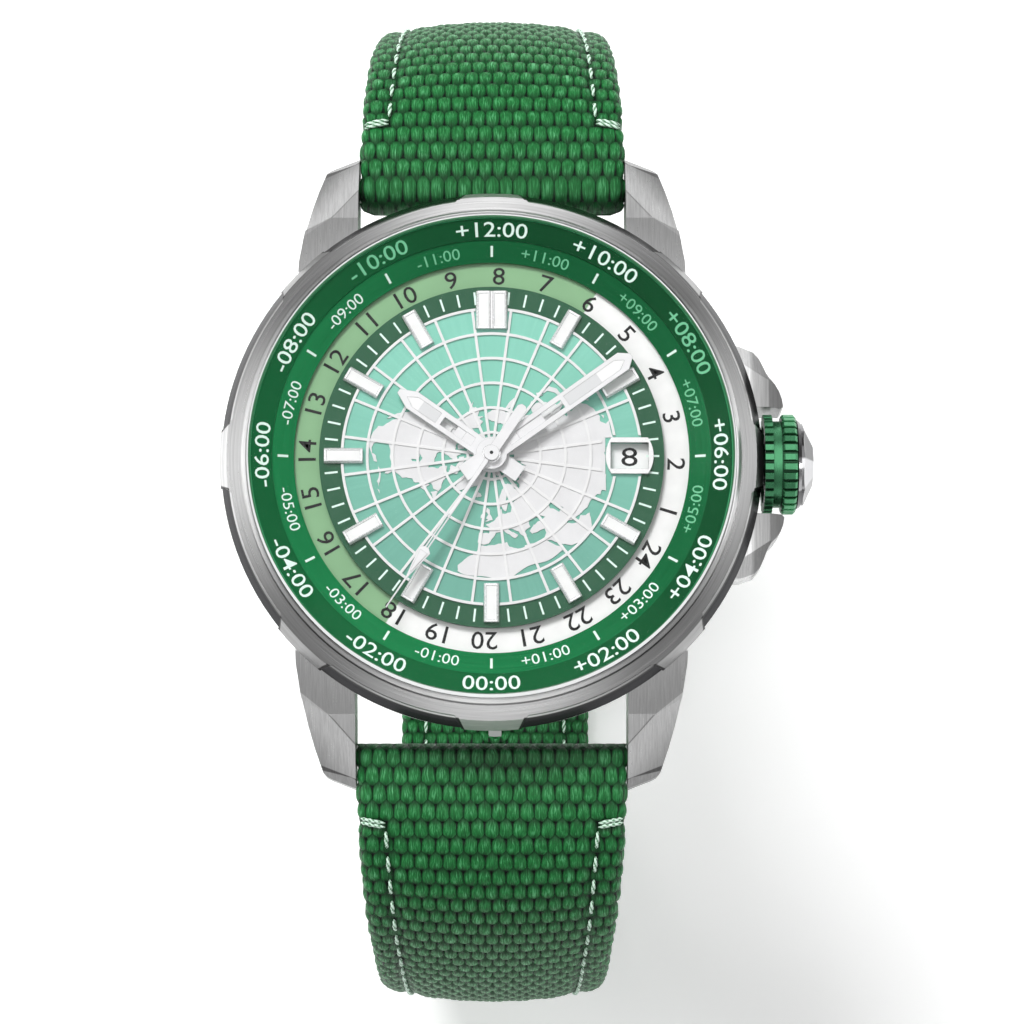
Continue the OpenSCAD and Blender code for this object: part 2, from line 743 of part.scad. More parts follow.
module minute_hand() color(white) difference() {
    hand_turn(minute_at, minute_z) pointer(minute_l, minute_w, 0.8, 1.4, 1.25) {
        minute_lume_plan();
        slot_plan(minute_inner_w - 0.2, 1.7, minute_l - 6.8);
    }
    at_z(minute_z - 1) cylinder(r = cannon_r, h = 2);
}

module minute_lume() color("#eaf6ee")
    hand_turn(minute_at, minute_z) linear_extrude(hand_t) minute_lume_plan(0.02);

module seconds_hand() color(white) difference() {
    union() {
        hand_turn(second_at, second_z) linear_extrude(hand_t) union() {
            polygon([[-0.2, 0], [-0.14, second_l * 0.53], [-0.64, second_l * 0.6],
                     [-0.55, second_l * 0.7], [-0.11, second_l * 0.78], [-0.05, second_l],
                     [0.05, second_l], [0.11, second_l * 0.78], [0.55, second_l * 0.7],
                     [0.64, second_l * 0.6], [0.14, second_l * 0.53], [0.2, 0]]);
            polygon([[-second_tail_w / 2, 0], [second_tail_w / 2, 0],
                     [second_tail_w / 2, -second_tail + 0.25],
                     [second_tail_w / 2 - 0.25, -second_tail],
                     [0.25 - second_tail_w / 2, -second_tail],
                     [-second_tail_w / 2, -second_tail + 0.25]]);
            circle(0.62);
        }
        at_z(second_z) cylinder(r = 0.62, h = 0.35);
    }
    at_z(second_z - 1) cylinder(r = second_r, h = 1.25);
}

// Motion works between the main plate and the dial
module hour_wheel() color(brass) difference() {
    union() {
        at_z(level_hour) wheel(hour_inner_teeth, hour_m, hour_teeth_h,
                               minute_wheel_at);
        at_z(level_hour) cylinder(r = 1.5, h = level_idler - level_hour + idler_h);
        at_z(level_idler) wheel(hour_teeth, ring_m, idler_h, 180);
        at_z(level_hour) cylinder(r = hour_tube_r, h = hour_z + hand_t - level_hour);
    }
    at_z(level_hour - eps) cylinder(r = hour_bore_r, h = far);
}

module cannon_pinion() color(steel_dark) difference() {
    union() {
        at_z(level_cannon) wheel(cannon_teeth, cannon_m, cannon_teeth_h, minute_wheel_at);
        at_z(level_cannon) cylinder(r = cannon_r, h = minute_z + hand_t - level_cannon);
    }
    at_z(level_cannon - eps) cylinder(r = cannon_bore_r, h = far);
}

module minute_wheel() color(brass) at_xy(minute_wheel_xy) difference() {
    union() {
        at_z(level_cannon) wheel(minute_teeth, cannon_m, cannon_teeth_h,
                                 facing(minute_wheel_at, minute_teeth));
        at_z(level_cannon) wheel(minute_pinion_teeth, hour_m, level_hour - level_cannon +
                                 hour_teeth_h, facing(minute_wheel_at, minute_pinion_teeth));
    }
    at_z(level_cannon - eps) cylinder(r = post_r + running, h = 2);
}

// Going train between the main plate and the bridge
module seconds_arbor() color(steel_dark) {
    at_z(bridge_top - 0.2) cylinder(r = second_r, h = second_z + hand_t - bridge_top + 0.2);
    at_z(level_fourth) linear_extrude(wheel_t) difference() {
        wheel_outline(fourth_teeth, fourth_m, escape_at);
        spokes(0.9, fourth_teeth * fourth_m / 2 - 0.7, 4, 0.4);
    }
    at_z(level_fourth) wheel(fourth_pinion_teeth, third_m,
                             level_third + wheel_t - level_fourth + 0.05, third_at);
}

module train_arbor(p) {
    at_xy(p, bridge_top - 0.25) cylinder(r = pivot_r, h = plate_low - bridge_top + 0.5);
    at_xy(p, bridge_top + 0.04) cylinder(r = arbor_r, h = plate_low - bridge_top - 0.08);
}

module third_wheel() color(brass) {
    train_arbor(third_xy);
    at_xy(third_xy, level_third) linear_extrude(wheel_t) difference() {
        wheel_outline(third_teeth, third_m, facing(third_at, third_teeth));
        spokes(0.9, third_teeth * third_m / 2 - 0.7, 4, 0.4);
    }
    at_xy(third_xy, level_centre - 0.05) wheel(third_pinion_teeth, centre_m, 0.28,
                                               facing(third_at, third_pinion_teeth));
}

module centre_wheel() color(brass) difference() {
    union() {
        at_z(level_centre) linear_extrude(wheel_t) difference() {
            wheel_outline(centre_teeth, centre_m, third_at);
            spokes(1.1, centre_teeth * centre_m / 2 - 0.7, 5, 0.4);
        }
        at_z(level_barrel) wheel(centre_pinion_teeth, barrel_m,
                                 level_centre - level_barrel, barrel_at);
        at_z(level_barrel) cylinder(r = centre_tube_r, h = minute_z - level_barrel);
    }
    at_z(level_barrel - eps) cylinder(r = centre_bore_r, h = far);
}

module barrel() color(brass) {
    train_arbor(barrel_xy);
    at_xy(barrel_xy, level_barrel) cylinder(r = drum_r, h = barrel_h);
    at_xy(barrel_xy, level_barrel + 0.2) wheel(barrel_teeth, barrel_m, 0.35,
                                               facing(barrel_at, barrel_teeth));
    at_xy(barrel_xy, level_fourth) cylinder(r = 1.0, h = level_barrel - level_fourth);
}

module escape_wheel() color(steel_dark) {
    train_arbor(escape_xy);
    at_xy(escape_xy, level_fourth - 0.05) wheel(escape_pinion_teeth, fourth_m, 0.28,
                                                facing(escape_at, escape_pinion_teeth));
    at_xy(escape_xy, level_escape) linear_extrude(wheel_t) {
        difference() {
            circle(escape_r - 0.5);
            spokes(0.6, escape_r - 0.85, 4, 0.25);
        }
        for (i = [0:escape_teeth - 1]) rotate((i + 0.5) * 360 / escape_teeth)
            polygon([[escape_r - 0.6, -0.18], [escape_r - 0.02, 0.1], [escape_r, 0.2],
                     [escape_r - 0.6, 0.12]]);
    }
}

module pallet_fork() color(steel_dark) {
    train_arbor(pallet_xy);
    reach = balance_d - pallet_d - 0.52;
    at_xy(pallet_xy, level_escape) rotate(balance_turn) linear_extrude(wheel_t) difference() {
        union() {
            circle(0.45);
            polygon([[0, -0.22], [reach, -0.14], [reach, 0.14], [0, 0.22]]);
            polygon([[reach - 0.5, -0.3], [reach, -0.4], [reach, 0.4], [reach - 0.5, 0.3]]);
            for (s = [-1, 1]) scale([1, s]) polygon([[0.25, 0.1], [0.05, 1.1], [-0.62, 1.42],
                                                    [-0.75, 1.22], [-0.3, 0.9], [-0.2, 0.1]]);
        }
        translate([reach - 0.3, -0.12]) square([1, 0.24]);
    }
}

module balance_wheel() color(brass) {
    train_arbor(balance_xy);
    at_xy(balance_xy, level_barrel - 0.25) linear_extrude(0.35) {
        difference() {
            circle(balance_r);
            circle(balance_r - 0.4);
        }
        for (i = [0:2]) rotate(balance_turn + 60 + i * 60)
            square([2 * balance_r - 0.4, 0.35], center = true);
        circle(0.6);
    }
    at_xy(balance_xy, level_escape + wheel_t + 0.06) cylinder(r = 0.75, h = 0.15);
    at_xy(balance_xy + polar(0.55, balance_turn + 180), level_escape + 0.02)
        cylinder(r = 0.08, h = wheel_t + 0.1);
}

// A flat spiral from the collet to the stud
module hairspring() {
    turns = 6;
    r0 = 0.5;
    pitch = 0.28;
    w = 0.06;
    per_turn = 16;
    n = turns * per_turn;
    function spiral(i, side) = polar(r0 + pitch * i / per_turn + side * w / 2,
                                     360 * i / per_turn);
    color("#3a4a8c") at_xy(balance_xy, bridge_top + 0.12) {
        linear_extrude(0.15) polygon(concat(
            [for (i = [0:n]) spiral(i, 1)], [for (i = [n:-1:0]) spiral(i, -1)]));
        linear_extrude(0.2) difference() {
            circle(0.5);
            circle(arbor_r + running);
        }
    }
}

// Plates, bridges and what holds the movement in the case
seat_in_r = 12.2;
seat_out_r = 12.75;
module main_plate() color(steel_dark) {
    bores = [third_xy, barrel_xy, escape_xy, pallet_xy, balance_xy];
    difference() {
        union() {
            at_z(plate_low) cylinder(r = plate_r, h = plate_t);
            difference() {
                at_z(plate_z - eps) ring(seat_out_r, seat_in_r, date_z - date_t - slide - plate_z);
                translate([-far / 2 - 10, -3, 0]) cube([far / 2, 6, far]);
            }
            for (d = [idler_a_d, idler_b_d]) translate([-d, 0, plate_z - eps])
                cylinder(r = post_r, h = level_idler + idler_h + 0.05 - plate_z);
            at_xy(minute_wheel_xy, plate_z - eps)
                cylinder(r = post_r, h = level_hour + hour_teeth_h - plate_z);
            translate([12.7, -1.7, stem_z - 1.3]) cube([2, 3.4, plate_low - stem_z + 1.3 + eps]);
            at_xy([lever_x, lever_y], stem_z + 0.3) cylinder(r = 0.4, h = plate_low - stem_z - 0.2);
        }
        at_z(plate_low - 1) cylinder(r = centre_tube_r + running, h = 3);
        for (p = bores) at_xy(p, plate_low - eps) cylinder(r = jewel_r, h = jewel_t + 0.05);
        for (a = feet_angles) at_xy(polar(7.9, a), plate_low - 1) cylinder(r = 0.35, h = 4);
        translate([10, 0, stem_z]) along_x() cylinder(r = stem_r + running, h = 8);
    }
}

module cock_plan(grow = 0) {
    for (p = [balance_xy]) translate(p) circle(1.5 + grow);
    translate(cock_foot) circle(1.3 + grow);
    dir = balance_xy - cock_foot;
    translate(cock_foot) rotate(atan2(dir[1], dir[0])) translate([0, -0.9 - grow])
        square([norm(dir), 1.8 + 2 * grow]);
}

module pillar(p) at_xy(p, bridge_top - eps) cylinder(r = pillar_r, h = plate_low - bridge_top + eps);

module train_bridge() color(steel) difference() {
    union() {
        at_z(bridge_z) linear_extrude(bridge_t) difference() {
            circle(plate_r - 0.3);
            translate(balance_xy) circle(balance_r - 0.2);
            cock_plan(0.15);
            translate([6.5, -3.2]) square([far, 6.4]);
            polygon([[6.5, -3.1], [far, -3.1], [far, -far], polar(far, -70), polar(11, -70),
                     balance_xy + polar(balance_r - 0.3, -140)]);
        }
        for (a = pillar_angles) pillar(polar(pillar_d, a));
    }
    for (p = [third_xy, escape_xy, barrel_xy, pallet_xy, [0, 0]])
        at_xy(p, bridge_top - jewel_t - 0.05) cylinder(r = jewel_r, h = 1);
    for (a = pillar_angles) screw_hole(polar(pillar_d, a));
}

module balance_cock() color(steel) difference() {
    union() {
        at_z(bridge_z) linear_extrude(bridge_t - 0.05) cock_plan();
        pillar(cock_foot);
        at_xy(cock_foot, bridge_z) cylinder(r = 1.3, h = bridge_t);
    }
    at_xy(balance_xy, bridge_top - jewel_t - 0.05) cylinder(r = jewel_r, h = 1);
    screw_hole(cock_foot);
}

screw_r = 0.45;
screw_l = 2.2;
module screw_hole(p) at_xy(p, bridge_z - eps) cylinder(r = screw_r, h = screw_l);

module bridge_screws() color("#4a5aa8")
    for (p = concat([for (a = pillar_angles) polar(pillar_d, a)], [cock_foot])) difference() {
        union() {
            at_xy(p, bridge_z - 0.22) cylinder(r = 0.75, h = 0.22);
            at_xy(p, bridge_z - 0.1) cylinder(r = screw_r - fit / 3, h = screw_l);
        }
        at_xy(p, bridge_z - 0.22) cube([2, 0.18, 0.2], center = true);
    }

module jewels() color(ruby) {
    wide = jewel_r - fit / 3;
    for (p = [third_xy, barrel_xy, escape_xy, pallet_xy, balance_xy]) {
        at_xy(p, bridge_top - jewel_t) ring(wide, pivot_r + running, jewel_t - 0.02);
        at_xy(p, plate_low + 0.02) ring(wide, pivot_r + running, jewel_t - 0.02);
    }
    at_z(bridge_top - jewel_t) ring(wide, second_r + running, jewel_t - 0.02);
}

module movement_ring() color("#b9bcb8") difference() {
    union() {
        at_z(bridge_z + 0.5) ring(case_bore_r - fit, plate_r + fit, ring_z - ring_t - slide - bridge_z - 0.5);
        at_z(bridge_z + 0.5) ring(plate_r + 0.1, plate_r - 0.25, plate_low - bridge_z - 0.52);
    }
    translate([10, 0, stem_z]) along_x() cylinder(r = tube_bore_r + 0.2, h = 10);
    translate([13.5, -1.8, stem_z - 1.4]) cube([1.5, 3.6, 3]);
}

// Winding rotor on its bearing
rotor_hub_r = 2.0;
module rotor() color(steel) difference() {
    rotate(205) union() {
        at_z(bridge_z - 0.55) linear_extrude(0.2) intersection() {
            difference() {
                circle(rotor_r);
                spokes(4, rotor_r - 4.2, 6, 1.2);
            }
            translate([-far / 2, 0]) square([far, far / 2]);
        }
        at_z(bridge_z - 1.25) linear_extrude(0.9) intersection() {
            difference() {
                circle(rotor_r);
                circle(rotor_r - 2.4);
            }
            translate([-far / 2, 0]) square([far, far / 2]);
        }
        at_z(bridge_z - 0.55) cylinder(r = 3.2, h = 0.2);
    }
    at_z(bridge_z - 2) cylinder(r = rotor_hub_r + running, h = 3);
}

module rotor_bearing() color(steel_dark) {
    at_z(bridge_z - 0.3) cylinder(r = 2.6, h = 0.3);
    at_z(bridge_z - 0.65) cylinder(r = rotor_hub_r, h = 0.4);
    at_z(bridge_z - 0.85) cylinder(r = 2.3, h = 0.25);
}

// Stem, crown and the lever that holds the stem
lever_x = 11.9;
lever_y = 3.2;
module setting_lever() color(steel) {
    lever_t = 0.22;
    slot = crown_pull + 0.3;
    at_z(stem_z + 0.98) linear_extrude(lever_t) difference() {
        polygon([[neck_x - 0.25, 0.4], [neck_x + 0.25, 0.4], [neck_x + 0.45, lever_y - 1.1],
                 [lever_x + 0.9, lever_y - 1.0], [lever_x + 0.9, lever_y + 1.0],
                 [lever_x - 2.4, lever_y + 1.0], [neck_x - 0.9, lever_y - 1.1]]);
        translate([lever_x - slot, lever_y - 0.5]) square([slot + 0.5, 1.0]);
    }
    at_xy([neck_x, 0.75], stem_z + 0.2) cylinder(r = 0.15, h = 0.8);
}

module winding_stem() color(steel_dark) translate([0, 0, stem_z]) along_x() {
    at_z(stem_in_x) cylinder(r = 0.5, h = 1.4);
    at_z(stem_in_x + 1.4) cylinder(r = stem_r, h = neck_x - neck_l / 2 - stem_in_x - 1.4);
    at_z(neck_x - neck_l / 2) cylinder(r = neck_r, h = neck_l);
    at_z(neck_x + neck_l / 2) cylinder(r = stem_r, h = crown_x0 + 1 - neck_x - neck_l / 2);
}

module crown_tube() color(steel) translate([0, 0, stem_z]) along_x() difference() {
    at_z(case_bore_r + 0.2) cylinder(r = tube_r, h = crown_x0 - case_bore_r - 0.4);
    cylinder(r = tube_bore_r, h = far);
}

module crown_outline(r, depth) {
    pitch = 360 / crown_teeth;
    polygon([for (i = [0:crown_teeth - 1]) for (k = [[-0.3, 0], [0.3, 0], [0.4, 1], [0.6, 1]])
        polar(r - k[1] * depth, (i + k[0]) * pitch)]);
}

module crown_grip() color(green) translate([0, 0, stem_z]) along_x() difference() {
    union() {
        at_z(crown_x0) linear_extrude(crown_groove0 - crown_x0) crown_outline(crown_r - 0.02, 0.3);
        at_z(crown_x0) cylinder(r = crown_r - 0.55, h = crown_x1 - crown_x0);
        intersection() {
            at_z(crown_groove1) linear_extrude(crown_x1 - crown_groove1) crown_outline(crown_r, 0.3);
            rotate_extrude() polygon([[0, crown_groove1], [crown_r - 0.15, crown_groove1],
                                      [crown_r, crown_groove1 + 0.15], [crown_r, crown_x1 - 0.2],
                                      [crown_r - 0.2, crown_x1], [0, crown_x1]]);
        }
    }
    at_z(crown_x0 - eps) cylinder(r = stem_r, h = 1 + eps);
    at_z(crown_x0 - eps) difference() {
        cylinder(r = crown_r - 0.9, h = 0.7);
        cylinder(r = tube_r - 0.2, h = 1);
    }
}

// The cap: a polished step, then facets in two rows, whose ridges meet in a point
module cap_pair(turn) {
    h = crown_cap_h;
    rotate(turn) rotate([90, 0, 0]) translate([0, 0, -cap_r]) linear_extrude(2 * cap_r)
        polygon([[-cap_r, 0], [-cap_r, 0.26 * h], [0.56 - cap_r, 0.4 * h], [-0.44 * cap_r, 0.86 * h],
                 [0, h], [0.44 * cap_r, 0.86 * h], [cap_r - 0.56, 0.4 * h], [cap_r, 0.26 * h],
                 [cap_r, 0]]);
}

module crown_cap() color(steel) translate([0, 0, stem_z]) along_x() {
    step = 0.35;
    at_z(crown_x1) rotate_extrude() polygon([[0, 0], [cap_r - 0.12, 0], [cap_r, 0.12],
                                             [cap_r - 0.12, step], [0, step]]);
    at_z(crown_x1) intersection() {
        cap_pair(22.5);
        cap_pair(67.5);
        cap_pair(112.5);
        cap_pair(157.5);
        cylinder(r = cap_r - 0.3, h = far);
    }
}

module o_ring(r, thick) rotate_extrude() translate([r, 0]) circle(thick, $fn = 24);

module crown_gasket() color("#202224")
    translate([crown_x0 + 0.42, 0, stem_z]) along_x() o_ring(tube_r + 0.5, 0.24);

// Case back
module case_back() color(steel) difference() {
    rotate_extrude() polygon([
        [0, 0], [back_flat_r, 0], [back_r, 0.55], [back_r, case_low - fit],
        [back_plug_r, case_low - fit], [back_plug_r, case_low + 1.3], [back_plug_r - 1, case_low + 1.3],
        [back_plug_r - 1, 1.5], [0, 1.5]]);
    for (i = [0:notch_count - 1]) rotate(i * 360 / notch_count + 30)
        translate([back_flat_r + 0.9, 0, -eps]) cylinder(r = 0.8, h = 0.6);
}

module case_back_gasket() color("#202224") at_z(case_low + 0.26) o_ring(back_plug_r + 0.36, 0.24);

// Spring bars in the lugs
module spring_bar() color(steel) translate([0, bar_y, bar_z]) along_x() {
    at_z(-lug_half + 0.3) cylinder(r = bar_r, h = lug_gap - 0.6);
    at_z(-lug_half - 1.0) cylinder(r = bar_tip_r - fit, h = lug_gap + 2.0);
}
module spring_bar_12() spring_bar();
module spring_bar_6() mirror([0, 1, 0]) spring_bar();

// Strap centre line: pieces of [radius, turn] or [length, 0], heading down as it turns
function seg_len(s) = s[1] == 0 ? s[0] : s[0] * s[1] * PI / 180;
function seg_end(p, s) = s[1] == 0
    ? [p[0] + s[0] * cos(p[2]), p[1] + s[0] * sin(p[2]), p[2]]
    : [p[0] + s[0] * (sin(p[2]) - sin(p[2] - s[1])), p[1] - s[0] * (cos(p[2]) - cos(p[2] - s[1])),
       p[2] - s[1]];
function walk(p, segs, l, i = 0) =
    i == len(segs) ? [p[0] + l * cos(p[2]), p[1] + l * sin(p[2]), p[2]]
    : l <= seg_len(segs[i]) + 0.0001
        ? seg_end(p, segs[i][1] == 0 ? [l, 0] : [segs[i][0], l / segs[i][0] * 180 / PI])
        : walk(seg_end(p, segs[i]), segs, l - seg_len(segs[i]), i + 1);
function total(segs, i = 0) = i == len(segs) ? 0 : seg_len(segs[i]) + total(segs, i + 1);

start = [bar_y, bar_z, 0];
short_path = [[lead_l, 0], [bend_r, 60], [side_r, 30], [under_r, 76], [straight_l, 0]];
long_path = [[lead_l, 0], [bend_r, 60], [side_r, 30], [60, 24], [foot_r, 66], [flat_l, 0]];
short_l = total(short_path);
long_l = total(long_path);
short_end = walk(start, short_path, short_l);
long_end = walk(start, long_path, long_l);
taper_l = 52;
tip_l = 8;
loop_l = 3.2;

function strap_w(s, l, tip) =
    let (w = lug_gap - 0.4 + (strap_end_w - lug_gap + 0.4) * min(1, s / taper_l))
    tip && s > l - tip_l ? w * sqrt(max(0.06, 1 - pow((s - l + tip_l) / tip_l, 2.4))) : w;
function strap_thick(s) = strap_t + (strap_end_t - strap_t) * min(1, s / 26);
function strap_ring(p, w, t) =
    let (c = min(0.45, t / 4), n = [-sin(p[2]), cos(p[2])])
    [for (q = [[-w / 2, t / 2 - c], [c - w / 2, t / 2], [w / 2 - c, t / 2], [w / 2, t / 2 - c],
               [w / 2, c - t / 2], [w / 2 - c, -t / 2], [c - w / 2, -t / 2], [-w / 2, c - t / 2]])
        [q[0], p[0] + q[1] * n[0], p[1] + q[1] * n[1]]];

module strap_sweep(segs, stops, tip) {
    l = total(segs);
    n = 8;
    rings = [for (s = stops) strap_ring(walk(start, segs, s), strap_w(s, l, tip), strap_thick(s))];
    last = len(rings) - 1;
    polyhedron(
        points = [for (r = rings) each r],
        faces = concat(
            [[for (k = [0:n - 1]) k]],
            [for (i = [0:last - 1], k = [0:n - 1]) let (a = i * n + k, b = i * n + (k + 1) % n)
                each [[a, a + n, b + n], [a, b + n, b]]],
            [[for (k = [n - 1:-1:0]) last * n + k]]));
}

module strap_eye() {
    translate([0, bar_y, bar_z]) along_x() at_z(-(lug_gap - 0.4) / 2)
        cylinder(r = eye_r, h = lug_gap - 0.4);
}
module bar_bore() translate([0, bar_y, bar_z]) along_x() at_z(-far / 2)
    cylinder(r = bar_r + running, h = far);

module strap_12() color(fabric) difference() {
    union() {
        strap_sweep(short_path, [for (i = [0:44]) (short_l - loop_l) * i / 44], false);
        strap_eye();
    }
    bar_bore();
}

// Two loops at the end of the short half, which hold the buckle's bar
module buckle_loops() color(fabric) buckle_place() difference() {
    union() {
        along_x() at_z(-strap_end_w / 2) cylinder(r = strap_end_t / 2, h = strap_end_w);
        translate([-strap_end_w / 2, -loop_l, eps - strap_end_t / 2])
            cube([strap_end_w, loop_l, strap_end_t - 2 * eps]);
    }
    along_x() at_z(-far / 2) cylinder(r = buckle_bar_r + running, h = far);
    translate([-tongue_w / 2 - 0.4, -loop_l - 1, -3]) cube([tongue_w + 0.8, loop_l + 4, 6]);
}

module strap_6() color(fabric) mirror([0, 1, 0]) difference() {
    union() {
        strap_sweep(long_path, concat([for (i = [0:55]) (long_l - tip_l) * i / 55],
                                      [for (i = [1:8]) long_l - tip_l + tip_l * i / 8]), true);
        strap_eye();
    }
    bar_bore();
    for (i = [0:hole_count - 1])
        translate([0, long_end[0] + tip_l + 6 + i * hole_pitch, long_end[1] - 5])
            cylinder(r = hole_r, h = 10);
}

// Buckle pieces are drawn along +Y from the bar, then laid on the strap's end
module buckle_place() translate([0, short_end[0], short_end[1]]) rotate([short_end[2], 0, 0])
    children();

buckle_in = strap_end_w + 0.5;
module buckle_frame() color(steel) buckle_place() difference() {
    w = buckle_in + 2 * buckle_side;
    intersection() {
        translate([-w / 2, -1.6, -buckle_t / 2]) cube([w, buckle_l + 1.6, buckle_t]);
        at_z(-buckle_t) linear_extrude(2 * buckle_t) union() {
            translate([-w / 2, -1.6]) square([w, buckle_l - 0.9]);
            translate([-w / 2 + 2.5, -1.6]) square([w - 5, buckle_l + 1.6]);
            for (s = [-1, 1]) translate([s * (w / 2 - 2.5), buckle_l - 2.5]) circle(2.5);
        }
    }
    translate([-buckle_in / 2, -3, -3]) cube([buckle_in, buckle_l + 3 - 2.2, 6]);
    along_x() at_z(-buckle_in / 2 - 1.2) cylinder(r = buckle_bar_r - 0.2, h = buckle_in + 2.4);
    translate([-tongue_w / 2 - 0.15, buckle_l - 2.4, -buckle_t / 2 + 1.2]) cube([tongue_w + 0.3, 3, 3]);
}

module buckle_bar() color(steel_dark) buckle_place() along_x() {
    at_z(-buckle_in / 2 + 0.15) cylinder(r = buckle_bar_r, h = buckle_in - 0.3);
    at_z(-buckle_in / 2 - 1.1) cylinder(r = buckle_bar_r - 0.2 - fit, h = buckle_in + 2.2);
}

module buckle_tongue() color(steel) buckle_place() difference() {
    union() {
        along_x() at_z(-tongue_w / 2) cylinder(r = buckle_bar_r + 0.75, h = tongue_w);
        translate([-tongue_w / 2, 0, 0.25]) cube([tongue_w, buckle_l - 0.3, 1.0]);
    }
    along_x() at_z(-far / 2) cylinder(r = buckle_bar_r + running, h = far);
}

// Keepers on the straight end of the short half. The strap lies on their outer wall
module keeper(s, wall) {
    inner_w = strap_end_w + 0.5;
    inner_h = strap_end_t + keeper_room;
    low = -strap_end_t / 2 - 0.12;
    buckle_place() translate([0, -s, 0]) difference() {
        translate([-inner_w / 2 - wall, -keeper_l / 2, low - wall])
            cube([inner_w + 2 * wall, keeper_l, inner_h + 2 * wall]);
        translate([-inner_w / 2, -keeper_l, low]) cube([inner_w, 2 * keeper_l, inner_h]);
    }
}
module fixed_keeper() color(fabric) keeper(6.8, keeper_wall);
module free_keeper() color(fabric) keeper(14.0, keeper_wall);

mid_case();
bezel();
crystal();
crystal_gasket();
flange_ring();
dial_plate();
map_grid();
hour_markers();
marker_lume();
date_frame();
date_disc();
ring_24h();
ring_idler_a();
ring_idler_b();
hour_hand();
hour_lume();
hour_wheel();
minute_hand();
minute_lume();
cannon_pinion();
minute_wheel();
seconds_hand();
seconds_arbor();
third_wheel();
centre_wheel();
barrel();
escape_wheel();
pallet_fork();
balance_wheel();
hairspring();
main_plate();
train_bridge();
balance_cock();
bridge_screws();
jewels();
movement_ring();
rotor();
rotor_bearing();
setting_lever();
winding_stem();
crown_tube();
crown_grip();
crown_cap();
crown_gasket();
case_back();
case_back_gasket();
spring_bar_12();
spring_bar_6();
strap_12();
strap_6();
buckle_frame();
buckle_bar();
buckle_loops();
buckle_tongue();
fixed_keeper();
free_keeper();
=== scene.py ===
"""World-time wristwatch on a woven strap: the finishes, prints, map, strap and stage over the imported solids.

Lengths in the settings and helpers are millimetres in the row frame (+Y towards 12, +X towards the crown, +Z out of
the dial); they are scaled to metres where a mesh is made.
"""
import math

import bpy
import numpy as np
from bpy.props import FloatProperty, FloatVectorProperty, IntProperty, PointerProperty
from bpy.types import Operator, Panel, PropertyGroup
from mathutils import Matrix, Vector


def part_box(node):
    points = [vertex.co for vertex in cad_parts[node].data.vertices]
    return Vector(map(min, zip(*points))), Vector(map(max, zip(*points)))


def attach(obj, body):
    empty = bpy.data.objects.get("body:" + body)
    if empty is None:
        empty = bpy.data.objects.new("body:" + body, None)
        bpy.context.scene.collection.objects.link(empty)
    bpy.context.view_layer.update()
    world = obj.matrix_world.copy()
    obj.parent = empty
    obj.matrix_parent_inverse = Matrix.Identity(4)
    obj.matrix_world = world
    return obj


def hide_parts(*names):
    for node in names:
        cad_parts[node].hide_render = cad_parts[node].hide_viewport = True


bl_info = {
    "name": "World-time wristwatch",
    "version": (1, 0, 0),
    "blender": (4, 5, 0),
    "location": "View3D > Sidebar > Watch",
    "description": "Finishes, prints and woven strap of a world-time wristwatch",
    "category": "Add Mesh",
}

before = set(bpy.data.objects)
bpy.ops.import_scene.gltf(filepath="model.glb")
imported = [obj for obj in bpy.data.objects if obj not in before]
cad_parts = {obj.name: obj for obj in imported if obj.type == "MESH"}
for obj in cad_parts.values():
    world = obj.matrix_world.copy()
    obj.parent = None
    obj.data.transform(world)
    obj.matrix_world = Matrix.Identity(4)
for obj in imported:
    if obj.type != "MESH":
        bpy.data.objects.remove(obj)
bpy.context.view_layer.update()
MM = 0.001
# Heights of the faces that carry prints: the dial, the 24-hour ring and the date disc
DIAL_Z, RING_Z, DATE_Z = 8.5, 7.9, 8.0
# Radii on the zone ring: the middles of its two rows of numbers and the step between its two bands
ZONE_IN, ZONE_OUT, ZONE_STEP = 16.76, 18.44, 17.63
MAP_RIM = 12.12
# Where the hands point at rest, in degrees clockwise from 12
HOUR, MINUTE, SECOND = 304.8, 54.5, 214.0


def srgb(red, green, blue):
    """Screen colour in 0-255 steps as linear light: the screen curve is a 2.4 power above its straight foot."""
    c = np.array((red, green, blue)) / 255.0
    return tuple(np.where(c <= 0.04045, c / 12.92, ((c + 0.055) / 1.055) ** 2.4))


def colour(name, description, *rgb):
    return FloatVectorProperty(name=name, description=description, subtype="COLOR", size=3, default=srgb(*rgb))


def length(name, description, default):
    reach = 3 * abs(default)
    return FloatProperty(name=name, description=description, default=default, precision=3,
                         min=-reach if default < 0 else 0.0, max=reach)


def angle(name, description, degrees):
    return FloatProperty(name=name, description=description, default=math.radians(degrees), subtype="ANGLE")


